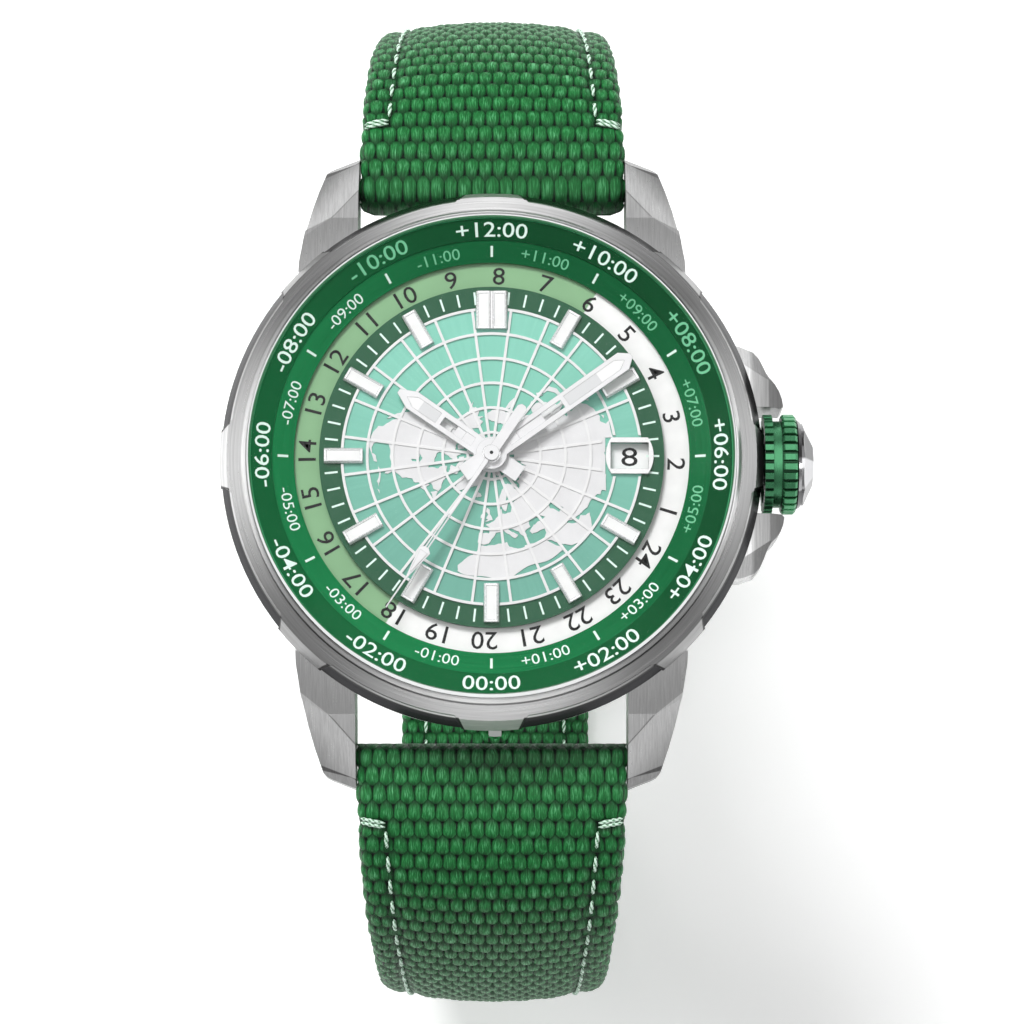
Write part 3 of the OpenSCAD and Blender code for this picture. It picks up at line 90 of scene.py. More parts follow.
class WatchColours(PropertyGroup):
    """Colours of the watch."""

    steel: colour("Steel", "Brushed and polished steel", 226, 226, 226)
    # Colour of the bezel's polished scoops: a painted dark reflection that makes them near black
    scoop: colour("Scoop", "Polished hollows round the bezel", 44, 44, 46)
    white: colour("White", "Lacquer of the land", 223, 223, 224)
    teal_top: colour("Sea, 12 side", "Map's sea towards 12", 128, 196, 176)
    teal_low: colour("Sea, 6 side", "Map's sea towards 6", 103, 162, 145)
    chapter: colour("Chapter ring", "Ring of the minutes", 32, 86, 58)
    day: colour("Day half", "Light green half of the 24-hour ring", 132, 176, 132)
    night: colour("White half", "White half of the 24-hour ring", 244, 244, 243)
    flange_out: colour("Flange, outer band", "Outer band of the zone ring", 22, 96, 54)
    flange_in: colour("Flange, inner band", "Inner band of the zone ring", 38, 144, 86)
    print_ink: colour("Print", "Zone numbers and minute lines", 226, 248, 238)
    print_dim: colour("Print, dim", "Zone numbers in the second tone", 112, 196, 150)
    digit_ink: colour("Digits", "Numbers of the hour ring and the date", 6, 8, 8)
    crown: colour("Crown", "Anodised grip of the crown", 84, 158, 112)
    fabric: colour("Fabric", "Yarn on top of the weave", 30, 126, 60)
    # Colour of the weave's gaps: painted shade that makes the open corners near black
    fabric_deep: colour("Fabric, deep", "Gaps of the weave", 2, 22, 10)
    thread: colour("Thread", "Light ply of the stitching", 222, 250, 232)
    floor: colour("Floor", "Floor under the watch", 253, 253, 253)


class DialPrint(PropertyGroup):
    """Sizes of the dial's prints, mm."""

    digit_height: length("Hour digits", "Height of the 24-hour digits", 1.42)
    digit_radius: length("Digit radius", "Middle of the 24-hour digits", 14.86)
    ring_turn: angle("Ring turn", "Turn of the hour ring, clockwise", 2.2)
    zone_height: length("Zone numbers, outer", "Height on the outer band", 1.16)
    zone_height_in: length("Zone numbers, inner", "Height on the inner band", 0.86)
    tick_width: length("Minute line", "Width of a minute line", 0.16)
    ink: length("Ink", "Thickness of a print", 0.02)
    land: length("Land relief", "Height of the land above the sea", 0.08)


class StrapCloth(PropertyGroup):
    """Weave and stitching of the strap, mm."""

    pitch: length("Yarn pitch", "Distance between yarn bumps across the strap", 1.14)
    row: length("Row pitch", "Distance between rows of bumps", 1.2)
    relief: length("Weave relief", "Height of a yarn bump", 0.5)
    corner: length("Edge rounding", "Radius of the strap's edges", 0.9)
    crown: length("Crown", "Fall of the outer face from the middle to the edges", 1.1)
    seam_inset: length("Seam inset", "Seam's distance from the edge", 2.3)
    seam_start: length("Seam start", "Cross stitch's distance from the bar", 5.4)
    stitch: length("Stitch", "Length of a visible stitch", 1.3)
    stitch_pitch: length("Stitch pitch", "Distance between stitches", 1.95)
    thread: length("Thread", "Diameter of the thread", 0.34)
    samples: IntProperty(name="Samples", description="Grid lines over a bump", default=7, min=3, max=12)


class StageSetup(PropertyGroup):
    """Camera and floor."""

    elevation: angle("Elevation", "Camera's height over the horizon", 81.5)
    distance: length("Distance", "Camera to the dial", 312.0)
    lens: FloatProperty(name="Lens", description="Focal length on a 36 mm sensor", default=136.55, min=20, max=300)
    aim_x: length("Aim x", "Point aimed at", 1.64)
    aim_y: length("Aim y", "Point aimed at", -4.5)
    floor_z: length("Floor", "Height of the floor", -59.2)
    blocks: IntProperty(name="Floor size", description="Side of the floor, in metres", default=4, min=1, max=10)


# ---------------------------------------------------------------- meshes


def piece(name, points, faces, finish, body, smooth=False, uv=None, tint=None):
    """Mesh from mm points and faces, riding on a body; uv has one pair and tint one number for each point."""
    mesh = bpy.data.meshes.new(name)
    mesh.from_pydata((np.asarray(points, float) * MM).tolist(), [], [list(map(int, f)) for f in faces])
    mesh.polygons.foreach_set("use_smooth", np.full(len(mesh.polygons), smooth))
    if uv is not None:
        corner = np.empty(len(mesh.loops), int)
        mesh.loops.foreach_get("vertex_index", corner)
        mesh.uv_layers.new(name="Cloth").data.foreach_set("uv", np.asarray(uv, np.float32)[corner].ravel())
    if tint is not None:
        mesh.attributes.new("tint", "FLOAT", "POINT").data.foreach_set("value", np.asarray(tint, np.float32))
    mesh.materials.append(finish.material)
    mesh.validate()
    mesh.update()
    made = bpy.data.objects.new(name, mesh)
    bpy.context.scene.collection.objects.link(made)
    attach(made, body)
    return made


def grid_faces(rows, columns, ring=True):
    """Quads of a rows x columns grid of points; ring joins the last column to the first."""
    i, j = np.meshgrid(np.arange(rows - 1), np.arange(columns if ring else columns - 1), indexing="ij")
    i, j = i.ravel(), j.ravel()
    k = (j + 1) % columns
    return np.stack((i * columns + j, i * columns + k, (i + 1) * columns + k, (i + 1) * columns + j), 1)


def boxes(lows, highs):
    """Points and faces of many boxes, given their low and high corners as n x 3 arrays."""
    pick = np.array([[x, y, z] for z in (0, 1) for y in (0, 1) for x in (0, 1)])
    points = np.where(pick[None], highs[:, None], lows[:, None])
    quads = np.array([[0, 2, 3, 1], [4, 5, 7, 6], [0, 1, 5, 4], [1, 3, 7, 5], [3, 2, 6, 7], [2, 0, 4, 6]])
    faces = quads[None] + 8 * np.arange(len(lows))[:, None, None]
    return points.reshape(-1, 3), faces.reshape(-1, 4)


def plate(outline, low, high):
    """A flat outline, anticlockwise in XY, raised from z = low to z = high."""
    n = len(outline)
    points = np.concatenate([np.column_stack((np.array(outline, float), np.full(n, z))) for z in (low, high)])
    faces = [tuple(f) for f in grid_faces(2, n).tolist()]
    return points, faces + [tuple(range(n - 1, -1, -1)), tuple(range(n, 2 * n))]


def circle(radius, count=24, wave=None):
    """Points round the axis; `wave` gives what is added to the radius at an angle."""
    turn = np.linspace(0, 2 * np.pi, count, endpoint=False)
    radius = radius + wave(turn) if wave else radius
    return np.stack((np.cos(turn) * radius, np.sin(turn) * radius), -1)


def turned(points, angle):
    """Points turned about +Z by an angle in radians, one angle for all or one for each point."""
    c, s = np.cos(angle), np.sin(angle)
    x, y, z = np.moveaxis(points, -1, 0)
    return np.stack((x * c - y * s, x * s + y * c, z), -1)


def joined(parts):
    """Many (points, faces, values for each point ...) as one, with the faces counted on."""
    points, faces, *more = zip(*parts)
    starts = np.cumsum([0, *map(len, points)]).tolist()
    faces = [tuple(int(v) + start for v in face) for start, lot in zip(starts, faces) for face in lot]
    return [np.concatenate(points), faces, *map(np.concatenate, more)]


def flat_mesh(data):
    """A text or flat curve's own mesh as mm points and faces; the helper object is removed."""
    helper = bpy.data.objects.new("helper", data)
    bpy.context.scene.collection.objects.link(helper)
    bpy.context.view_layer.update()
    mesh = bpy.data.meshes.new_from_object(helper.evaluated_get(bpy.context.evaluated_depsgraph_get()))
    points = np.empty(len(mesh.vertices) * 3, np.float32)
    mesh.vertices.foreach_get("co", points)
    faces = [tuple(p.vertices) for p in mesh.polygons]
    bpy.data.objects.remove(helper)
    bpy.data.meshes.remove(mesh)
    return points.reshape(-1, 3).astype(float), faces


def number(text, height, wide=1.0, weight=0.0, depth=0.02):
    """A plain number, centred, lying in XY with its top to +Y, `height` tall and `depth` thick above z = 0."""
    data = bpy.data.curves.new("number", "FONT")
    data.body, data.size = text, 1.0
    data.extrude, data.offset, data.resolution_u = 0.5, weight, 3
    points, faces = flat_mesh(data)
    low, high = points.min(0), points.max(0)
    points = (points - (low + high) / 2) * height / (high[1] - low[1])
    points[:, 0] *= wide
    points[:, 2] = np.where(points[:, 2] > 0, depth, 0.0)
    return points, faces


def on_ring(points, radius, clockwise, inward=False):
    """Bends a lying number round the axis at a radius and a clock angle (degrees, clockwise from 12), top outward or
    inward: its x becomes an arc of that radius, its y is added to the radius."""
    flip = -1 if inward else 1
    x, y, z = np.moveaxis(points * (flip, flip, 1), -1, 0)
    clock = math.radians(clockwise) + x / radius
    return np.stack(((radius + y) * np.sin(clock), (radius + y) * np.cos(clock), z), -1)


# ---------------------------------------------------------------- finishes


BLACK, BRIGHT = (0.0, 0.0, 0.0), (1.0, 1.0, 1.0)
DEGREES = 180 / math.pi
# Height of the crown's own axis
CROWN_Z = 4.3
# A knot's half width at its middle and how it widens along it, its half length (in pitches) and its roundness
KNOT_WIDE, KNOT_FAN, KNOT_TALL, KNOT_POWER = 0.5, 0.16, 0.66, 2.4


def shade(base, share):
    return tuple(v * share for v in base)


def arithmetic(kind, swapped=False):
    """A method of Term that adds the Math node of that kind on the term and a second value, or these swapped."""
    return lambda term, other=0.0: term.finish.math(kind, *((other, term) if swapped else (term, other)))


class Term:
    """A node's output in a finish, with arithmetic that adds Math nodes."""

    __add__ = __radd__ = arithmetic("ADD")
    __mul__ = __rmul__ = arithmetic("MULTIPLY")
    __sub__, __rsub__ = arithmetic("SUBTRACT"), arithmetic("SUBTRACT", True)
    __truediv__, __pow__, __abs__ = arithmetic("DIVIDE"), arithmetic("POWER"), arithmetic("ABSOLUTE")
    round, most, above = arithmetic("ROUND"), arithmetic("MAXIMUM"), arithmetic("GREATER_THAN")

    def __init__(self, finish, socket):
        self.finish, self.socket = finish, socket


def put(tree, kind, joined=None, **settings):
    """Adds a shader node; each input given is joined to a term or socket, or set to a number, vector or colour."""
    node = tree.nodes.new("ShaderNode" + kind)
    for key, value in settings.items():
        setattr(node, key, value)
    for key, value in (joined or {}).items():
        join(tree, node.inputs[key], value)
    return node


def join(tree, socket, value):
    value = value.socket if isinstance(value, Term) else value
    if isinstance(value, bpy.types.NodeSocket):
        tree.links.new(value, socket)
    else:
        socket.default_value = (*value, 1.0) if socket.type == "RGBA" else value


class Finish:
    """A material being built on a Principled shader; out() adds a node and gives one of its outputs."""

    def __init__(self, name):
        self.material = bpy.data.materials.new(name)
        self.material.use_nodes = True
        self.tree = self.material.node_tree
        self.tree.nodes.clear()
        self.shader = put(self.tree, "BsdfPrincipled")
        self.end = put(self.tree, "OutputMaterial", {0: self.shader.outputs[0]})

    def out(self, kind, joined=None, output=0, **settings):
        return Term(self, put(self.tree, kind, joined, **settings).outputs[output])

    def math(self, kind, *values):
        return self.out("Math", dict(enumerate(values)), operation=kind)

    def set(self, **values):
        for key, value in values.items():
            join(self.tree, self.shader.inputs[key.replace("_", " ")], value)
        return self

    def was(self, name="Base Color"):
        """What is joined to an input of the shader so far."""
        return Term(self, self.shader.inputs[name].links[0].from_socket)

    def places(self, scale=(1000.0, 1000.0, 1000.0)):
        """Object coordinates in mm, stretched by `scale`."""
        return self.out("Mapping", {"Vector": self.out("TexCoord", output="Object"), "Scale": scale})

    def apart(self, vector):
        return [Term(self, socket) for socket in put(self.tree, "SeparateXYZ", {0: vector}).outputs]

    def polar(self):
        """Keeps x, y, z and the radius in mm, and the angle from +X in radians, of Object coordinates."""
        self.x, self.y, self.z = self.apart(self.places())
        self.radius = self.math("SQRT", self.x * self.x + self.y * self.y)
        self.angle = self.math("ARCTAN2", self.y, self.x)
        return self

    def ringed(self, across=9.0):
        """Vector whose noise streaks run round the Z axis: radius and height change fast, direction slowly."""
        self.polar()
        return self.out("CombineXYZ", {0: (self.z * 0.7 + self.radius) * across, 1: self.x / self.radius * 2.2,
                                       2: self.y / self.radius * 2.2})

    def noise(self, vector, scale=1.0, detail=3.0, rough=0.6):
        return self.out("TexNoise", {"Vector": vector, "Scale": scale, "Detail": detail, "Roughness": rough})

    def range(self, value, low, high, to_low=0.0, to_high=1.0, smooth=False):
        return self.out("MapRange", {0: value, 1: low, 2: high, 3: to_low, 4: to_high},
                        interpolation_type="SMOOTHSTEP" if smooth else "LINEAR")

    def blend(self, share, a, b, how="MIX"):
        return self.out("Mix", {0: share, 6: a, 7: b}, 2, data_type="RGBA", blend_type=how)

    def bumped(self, height, depth=0.01, strength=1.0, edge=0.0):
        """Normal with a bump `depth` mm deep, over edges rounded by `edge` mm."""
        joined = {"Height": height, "Distance": depth * MM, "Strength": strength}
        if edge:
            joined["Normal"] = self.out("Bevel", {"Radius": edge * MM}, samples=4)
        return self.out("Bump", joined)


def brushed(name, base, way="Y", rough=0.3, grain=1.0, edge=0.05):
    """Brushed metal: long fine streaks along X or Y, or round the Z axis, in tone, gloss and relief."""
    f = Finish(name)
    ring = way == "ring"
    stretch = {"X": (25.0, 1000.0, 1000.0), "Y": (1000.0, 25.0, 120.0)}
    vector = f.ringed() if ring else f.places(stretch[way])
    fine = f.noise(vector, 1.0 if ring else 9.0, 4.0, 0.7)
    broad = f.noise(vector, 0.25 if ring else 2.2, 2.0)
    mixed = fine * 0.8 + broad * 0.2
    return f.set(Base_Color=f.blend(f.range(mixed, 0.38, 0.62), shade(base, 1 - 0.32 * grain), base), Metallic=1.0,
                 Roughness=f.range(mixed, 0.35, 0.65, rough + 0.07 * grain, rough - 0.05 * grain),
                 Normal=f.bumped(mixed, 0.006 * grain, 0.5, edge), Anisotropic=0.45)


def polished(name, base, rough=0.12, edge=0.05):
    """Polished metal with faint clouding and hairlines."""
    f = Finish(name)
    cloud = f.noise(f.places(), 0.35, 3.0)
    hair = f.noise(f.places((1000.0, 180.0, 1000.0)), 7.0, 2.0)
    return f.set(Base_Color=f.blend(f.range(cloud, 0.3, 0.7), shade(base, 0.9), base), Metallic=1.0,
                 Roughness=f.range(hair, 0.3, 0.7, rough * 0.8, rough * 1.3), Normal=f.bumped(hair, 0.0012, 0.4, edge))


def lacquer(name, base, rough=0.28, grain=0.004, edge=0.03, metallic=0.0, line=0.0):
    """Satin lacquer with a fine skin and slight tone drift. A line width in mm paints shade on the edges: they darken
    to
    0.4 where the normal rounded over that width leaves the face's own."""
    f = Finish(name)
    skin, drift = f.noise(f.places(), 14.0, 3.0), f.noise(f.places(), 0.5, 2.0)
    tone = f.blend(f.range(drift, 0.35, 0.65), shade(base, 0.94), base)
    if line:
        soft, own = f.out("Bevel", {"Radius": line * MM}, samples=6), f.out("NewGeometry", output="True Normal")
        flat = f.out("VectorMath", {0: soft, 1: own}, "Value", operation="DOT_PRODUCT")
        # Painted shade along the edges
        tone = f.blend(f.range(flat, 0.75, 0.96), shade(base, 0.4), tone)
    return f.set(Base_Color=tone, Metallic=metallic, Roughness=f.range(skin, 0.3, 0.7, rough - 0.04, rough + 0.06),
                 Normal=f.bumped(skin, grain, 0.5, edge))


def ink(name, base):
    return lacquer(name, base, 0.4, 0.002, 0.0)


def rubber(name):
    return lacquer(name, srgb(30, 31, 32), 0.6, 0.01, 0.0).set(Specular_IOR_Level=0.35)


def bezel_metal(c):
    """Bezel: brushed round the axis, with polished scoops between the eight tabs, painted near black as a dark
    reflection and outlined by a thin line of painted shade. Painted highlights at 12, 3, 6 and 9, with painted shade
    between them,
    are put into its colour: its tone is 0.26 + 0.74 (0.5 + 0.5 cos 4a)^1.3 of the steel at the angle a, and at least
    half the steel's tone on the tabs' outer part."""
    f = brushed("bezel_steel", c.steel, "ring", 0.3, 0.7, 0.04)
    from_tab = abs(f.math("WRAP", f.angle * DEGREES, 22.5, -22.5))
    tab = 6.2 - (f.radius - 21.9) * 2.0
    # Mask of the polished scoops, which take the painted dark reflection colour
    scoop = f.range(from_tab, tab - 0.15, tab + 0.15) * f.range(f.radius, 21.33, 21.4)
    # rim: a thin line of painted shade, near black, along the sides and inner edge of the scoops
    rim = f.range(from_tab, tab - 0.5, tab - 0.3) * f.range(f.radius, 21.24, 21.29)
    # Painted highlights and painted shade: the steel's tone rises and falls four times round the bezel
    wave = f.math("COSINE", f.angle * 4.0) * 0.5 + 0.5
    share = (wave ** 1.3 * 0.74 + 0.26).most(f.range(f.radius, 21.3, 21.4, 0.0, 0.5))
    tone = f.blend(rim, f.blend(share, BLACK, f.was()), (0.05, 0.05, 0.05))
    rough = f.range(f.radius, 21.3, 21.4, f.was("Roughness"), 0.42)
    return f.set(Base_Color=f.blend(scoop, tone, c.scoop), Roughness=f.range(scoop, 0.0, 1.0, rough, 0.26))


def case_metal(c):
    """Case: fine brushing along Y, with painted light and painted shade in its tone. With d the distance past a lug's
    crease, the painted tone is 0.84 of the steel just behind the crease, rising to 1 towards the case, with the lug's
    own flat at 0.6, and falls over the sloping facet before it, from 1 to 0.36 at 12 and from 1.3 to 0.6 at 6, a
    painted highlight near the crease turning to painted shade at the tip; the end face is painted shade at 0.26. The
    crown guards are painted darker as shade, down to 0.32."""
    f = brushed("case_steel", c.steel, "Y", 0.3, 0.7, 0.06).polar()
    wide, far = abs(f.x), abs(f.y)

    def beyond(y, x, degrees):
        """Distance past a line through a point of the lug, turned from X."""
        turn = math.radians(degrees)
        return (far - y) * math.cos(turn) + (wide - x) * math.sin(turn)

    past = beyond(21.95, 11.3, 38) - (far - 20.45).most(0.0) * 0.234
    facet = f.range(f.y, -1.0, 1.0, f.range(past, 0.3, 3.4, 1.3, 0.6, smooth=True),
                    f.range(past, 0.3, 3.0, 1.0, 0.36, smooth=True))
    facet = f.range(beyond(25.52, 11.0, 22), -0.03, 0.03, facet, 0.26)
    behind = f.range(past, -3.5, -0.2, 1.0, 0.84, smooth=True) * f.range(far, 20.42, 20.48, 1.0, 0.6)
    guard = f.range(f.x, 20.9, 21.3, 1.0, 0.5) * f.range(f.x, 21.3, 23.2, 1.0, 0.64)
    # share: painted light and painted shade, multiplied into the brushed steel's colour
    share = f.range(past, -0.03, 0.03, behind, facet) * guard
    return f.set(Base_Color=f.out("VectorMath", {0: f.was(), "Scale": share}, operation="SCALE"))


def wheel_metal(c):
    """Brass wheels, brushed round the axis; the ends of the arbors above the dial are plated white."""
    f = brushed("wheel_brass", srgb(214, 178, 104), "ring", 0.24, 0.8, 0.02)
    return f.set(Base_Color=f.blend(f.range(f.z, 8.5, 8.6), f.was(), c.white))


def crown_metal(c):
    """Crown: green anodised metal, with painted shade darkening the grooves between its teeth (radius about the crown's
    own axis) down to 0.12; the plain groove between its two rows keeps its full tone."""
    f = polished("crown_green", c.crown, 0.3, 0.04).polar()
    up = f.z - CROWN_Z
    radius = f.math("SQRT", up * up + f.y * f.y)
    # share: painted shade in the grooves between the teeth, none in the plain groove
    share = f.range(radius, 3.76, 4.0, 0.12, 1.0).most(f.range(abs(f.x - 23.13), 0.3, 0.4, 1.0, 0.0))
    return f.set(Base_Color=f.blend(share, BLACK, f.was()), Metallic=0.8)


def cap_metal():
    """Crown's polished cap: a painted reflection lights one facet and painted shade darkens the others, told apart by
    the angle about the crown's axis.
    """
    f = polished("crown_steel", srgb(226, 226, 228), 0.12, 0.02).polar()
    turn = f.math("ARCTAN2", f.y, f.z - CROWN_Z) * DEGREES
    # share: painted reflection of 0.8 on the bright facet, painted shade of 0.2 and 0.34 on the others
    share = f.range(abs(turn + 22.5), 21.0, 24.0, 0.8, 0.2).most(f.range(turn, 44.0, 46.0, 0.0, 0.34))
    return f.set(Base_Color=f.blend(share, BLACK, f.was()))


def gasket_nylon(c):
    """Crystal's gasket: white nylon next to the bezel on a green ring, its white line widened towards 6 as a painted
    highlight.
    """
    f = lacquer("seal_nylon_and_highlight", srgb(226, 228, 228), 0.35, 0.002, 0.0).polar()
    # past: the white line's inner edge moves in towards 6, widening the painted highlight there
    past = f.radius - f.range(f.y, -19.5, 2.0, 19.36, 19.53)
    return f.set(Base_Color=f.blend(f.range(past, -0.02, 0.02), c.flange_out, f.was()))


def flange_metal(c):
    """Zone ring: green metal brushed round the axis, darker outside the step, with painted shade darkening it towards 2
    and a painted highlight on its lip.
    """
    f = brushed("zone_ring_green", c.flange_in, "ring", 0.34, 0.7, 0.03)
    tone = f.blend(f.range(f.radius, ZONE_STEP - 0.03, ZONE_STEP + 0.01), f.was(), f.blend(0.85, f.was(), c.flange_out))
    # Painted shade: the tone falls to 0.56 towards 2 o'clock
    tone = f.blend(f.range(f.x * 2.1 + f.y, -38.0, 38.0, 1.0, 0.56, smooth=True), BLACK, tone)
    # Painted highlight: a light green line on the ring's lip, past 19.3 mm
    return f.set(Base_Color=f.blend(f.range(f.radius, 19.28, 19.34), tone, srgb(70, 170, 115)), Metallic=0.5,
                 Specular_IOR_Level=0.2, Coat_Weight=0.05)


def dial_paint(c):
    """Dial: teal sea shading from 12 to 6 with a soft sunray, and the dark minute ring outside the map."""
    f = Finish("dial_paint").polar()
    sea = f.blend(f.range(f.y, -12.0, 12.0, smooth=True), c.teal_low, c.teal_top)
    ray = f.noise(f.out("CombineXYZ", {0: f.math("COSINE", f.angle), 1: f.math("SINE", f.angle)}), 30.0, 3.0)
    sea = f.blend(f.range(ray, 0.35, 0.65, 0.0, 0.12), sea, BRIGHT, "SOFT_LIGHT")
    grain = f.noise(f.places(), 22.0, 2.0)
    ring = f.blend(f.range(grain, 0.3, 0.7), shade(c.chapter, 0.85), c.chapter)
    return f.set(Base_Color=f.blend(f.range(f.radius, 12.1, 12.14), sea, ring), Metallic=0.12,
                 Roughness=f.range(grain, 0.3, 0.7, 0.3, 0.42), Normal=f.bumped(grain, 0.002, 0.5))


def hand_lume(name, clock, start):
    """Lume of a hand: painted as the hand up to a distance from the axis, bare beyond it."""
    f = lacquer(name, srgb(255, 255, 255), 0.5, 0.008, 0.0).polar()
    a = math.radians(clock)
    out = f.x * math.sin(a) + f.y * math.cos(a)
    return f.set(Base_Color=f.blend(f.range(out, start - 0.03, start + 0.03), srgb(214, 215, 216),
                                    srgb(238, 238, 238)))


def hour_ring_paint(c, turn):
    """24-hour ring: light green from 6 to 18, white from 18 to 6, split along two radii, in satin lacquer."""
    f = lacquer("hour_ring_paint", c.night, 0.34, 0.002, 0.0).polar()
    away = f.math("COSINE", f.angle - (math.radians(150) - turn))
    day = f.blend(f.range(f.noise(f.places(), 0.3, 2.0), 0.35, 0.65), shade(c.day, 0.93), c.day)
    return f.set(Base_Color=f.blend(f.range(away, -0.004, 0.004), f.was(), day))


def clear_crystal():
    """Crystal: clear, hardly tinted glass. Light on its way to and from the dial passes it once, unbent."""
    f = Finish("clear_crystal")
    smear = f.noise(f.places(), 0.12, 2.0)
    f.set(Base_Color=BRIGHT, Roughness=f.range(smear, 0.4, 0.7, 0.0, 0.015), Transmission_Weight=1.0, IOR=1.05,
          Specular_IOR_Level=0.5)
    shadow, diffuse, glossy = (f.out("LightPath", output="Is %s Ray" % way) for way in ("Shadow", "Diffuse", "Glossy"))
    passing = {0: shadow.most(diffuse.most(glossy)), 1: f.shader.outputs[0], 2: f.out("BsdfTransparent")}
    join(f.tree, f.end.inputs[0], f.out("MixShader", passing))
    return f


def woven_yarn(name, c, cloth):
    """Ballistic weave of flat knots, drawn from the cloth's UV (mm across and along) by the formula of yarn(), with
    fanned filaments on each knot. Light and shade are painted into its colour: painted shade makes the open corners
    near black and darkens each knot towards its ends and sides, a painted highlight lightens filaments near the knots'
    tops, and the tint attribute adds painted shade along the seams and next to the bar."""
    f = Finish(name)
    # tint: painted shade, lower along the seams and next to the bar
    seam_and_bar_shade = f.out("Attribute", output="Fac", attribute_name="tint")
    uv = f.out("UVMap", uv_map="Cloth")
    across, along, _ = f.apart(uv)
    u, v = across * (1.0 / cloth.pitch) + (f.noise(uv, 0.8, 2.0) - 0.5) * 0.3, along * (1.0 / cloth.row)
    row = v.round()
    best, fan, up, lot = -9.0, 0.0, 0.0, 0.0
    for shift in (-1.0, 0.0, 1.0):
        near = row + shift
        x = u - f.math("FLOORED_MODULO", near, 2.0) * 0.5
        index = x.round()
        y = v - near
        spread = (x - index) / (y * KNOT_FAN + KNOT_WIDE)
        height = 1.0 - abs(spread) ** KNOT_POWER - abs(y * (1.0 / KNOT_TALL)) ** KNOT_POWER
        wins, best = height.above(best), height.most(best)
        fan, up, lot = (wins * (new - old) + old
                        for new, old in ((spread, fan), (y, up), (near * 5.3 + index * 2.7, lot)))
    strands = f.noise(f.out("CombineXYZ", {0: fan * 5.5, 1: up * 1.8, 2: lot}), 1.0, 3.0, 0.6)
    tuft = f.noise(f.out("Mapping", {"Vector": uv, "Scale": (0.9, 0.8, 1.0)}), 1.0, 3.0)
    # glint: a painted highlight, light green, on filaments near the top of each knot
    glint = f.range(strands, 0.5, 0.68, 0.0, 0.8) * f.range(best, 0.4, 0.95) * f.range(tuft, 0.35, 0.65, 0.2, 1.0)
    top = f.blend(f.range(strands, 0.34, 0.62), shade(c.fabric, 0.5), c.fabric)
    top = f.blend(glint, top, srgb(112, 196, 140))
    # Painted shade on each knot: darker towards its ends and its sides
    dip_shade = f.range(abs(up - 0.1), 0.12, 0.62, 1.0, 0.3, smooth=True)
    side = f.range(abs(fan), 0.62, 1.0, 1.0, 0.35, smooth=True)
    # Share of the lit top colour: painted shade at the knots' ends and sides, in the open corners, along the seams and
    # next to the bar
    painted_lit_share = dip_shade * side * f.range(best, 0.0, 0.2) * f.range(seam_and_bar_shade, 0.0, 0.8, 0.25, 1.0)
    return f.set(Base_Color=f.blend(painted_lit_share, c.fabric_deep, top), Roughness=f.range(strands, 0.3, 0.7, 0.55, 0.36),
                 Normal=f.bumped(strands * 0.35 + best.most(0.0) ** 0.5, 0.22, 1.0), Sheen_Weight=0.05,
                 Sheen_Roughness=0.4, Specular_IOR_Level=0.3)


def twisted_thread(c):
    """Two-ply thread: the tint runs round the twist, from the light ply to the green one."""
    f = Finish("seam_thread")
    ply = f.out("Attribute", output="Fac", attribute_name="tint")
    fuzz = f.noise(f.places(), 30.0, 3.0)
    tone = f.blend(f.range(ply, 0.25, 0.6, smooth=True), shade(c.fabric, 0.8), c.thread)
    return f.set(Base_Color=f.blend(f.range(fuzz, 0.3, 0.7, 0.0, 0.25), tone, c.thread), Roughness=0.5,
                 Normal=f.bumped(fuzz, 0.03, 0.6), Sheen_Weight=0.3)


def dress(finish, nodes):
    """Gives a finish to the material slots of CAD nodes, named with spaces between."""
    for name in nodes.split():
        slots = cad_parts[name].material_slots
        if not slots:
            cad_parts[name].data.materials.append(finish.material)
        for s in slots:
            s.material = finish.material


class WATCH_OT_metals(Operator):
    """Finish the case, bezel, crown, crystal, buckle and the movement inside"""

    bl_idname = "watch.metals"
    bl_label = "Case, crown and movement finishes"

    def execute(self, context):
        c = context.scene.watch_colours
        dress(case_metal(c), "mid_case")
        dress(bezel_metal(c), "bezel")
        dress(flange_metal(c), "flange_ring")
        dress(clear_crystal(), "crystal")
        dress(rubber("seal_rubber"), "crown_gasket case_back_gasket")
        dress(gasket_nylon(c), "crystal_gasket")
        dress(crown_metal(c), "crown_grip")
        dress(cap_metal(), "crown_cap")
        dress(brushed("back_steel", c.steel, "ring", 0.32, 0.8), "case_back")
        dress(brushed("buckle_steel", c.steel, "X", 0.28, 0.8), "buckle_frame buckle_tongue")
        dress(rubber("loop_core"), "buckle_loops")
        dress(polished("pin_steel", c.steel, 0.15, 0.03), "spring_bar_12 spring_bar_6 buckle_bar winding_stem "
              "crown_tube setting_lever pallet_fork rotor_bearing")
        dress(brushed("plate_rhodium", srgb(206, 206, 200), "Y", 0.26, 0.7), "main_plate train_bridge balance_cock "
              "movement_ring")
        dress(wheel_metal(c), "hour_wheel cannon_pinion minute_wheel ring_idler_a ring_idler_b seconds_arbor "
              "third_wheel centre_wheel barrel escape_wheel balance_wheel")
        dress(brushed("rotor_steel", srgb(190, 188, 182), "ring", 0.3, 1.0, 0.04), "rotor")
        dress(polished("blued_steel", srgb(30, 52, 128), 0.16, 0.02), "hairspring bridge_screws")
        dress(lacquer("ruby_bearing", srgb(176, 16, 52), 0.1, 0.001, 0.01).set(Coat_Weight=0.6), "jewels")
        return {"FINISHED"}
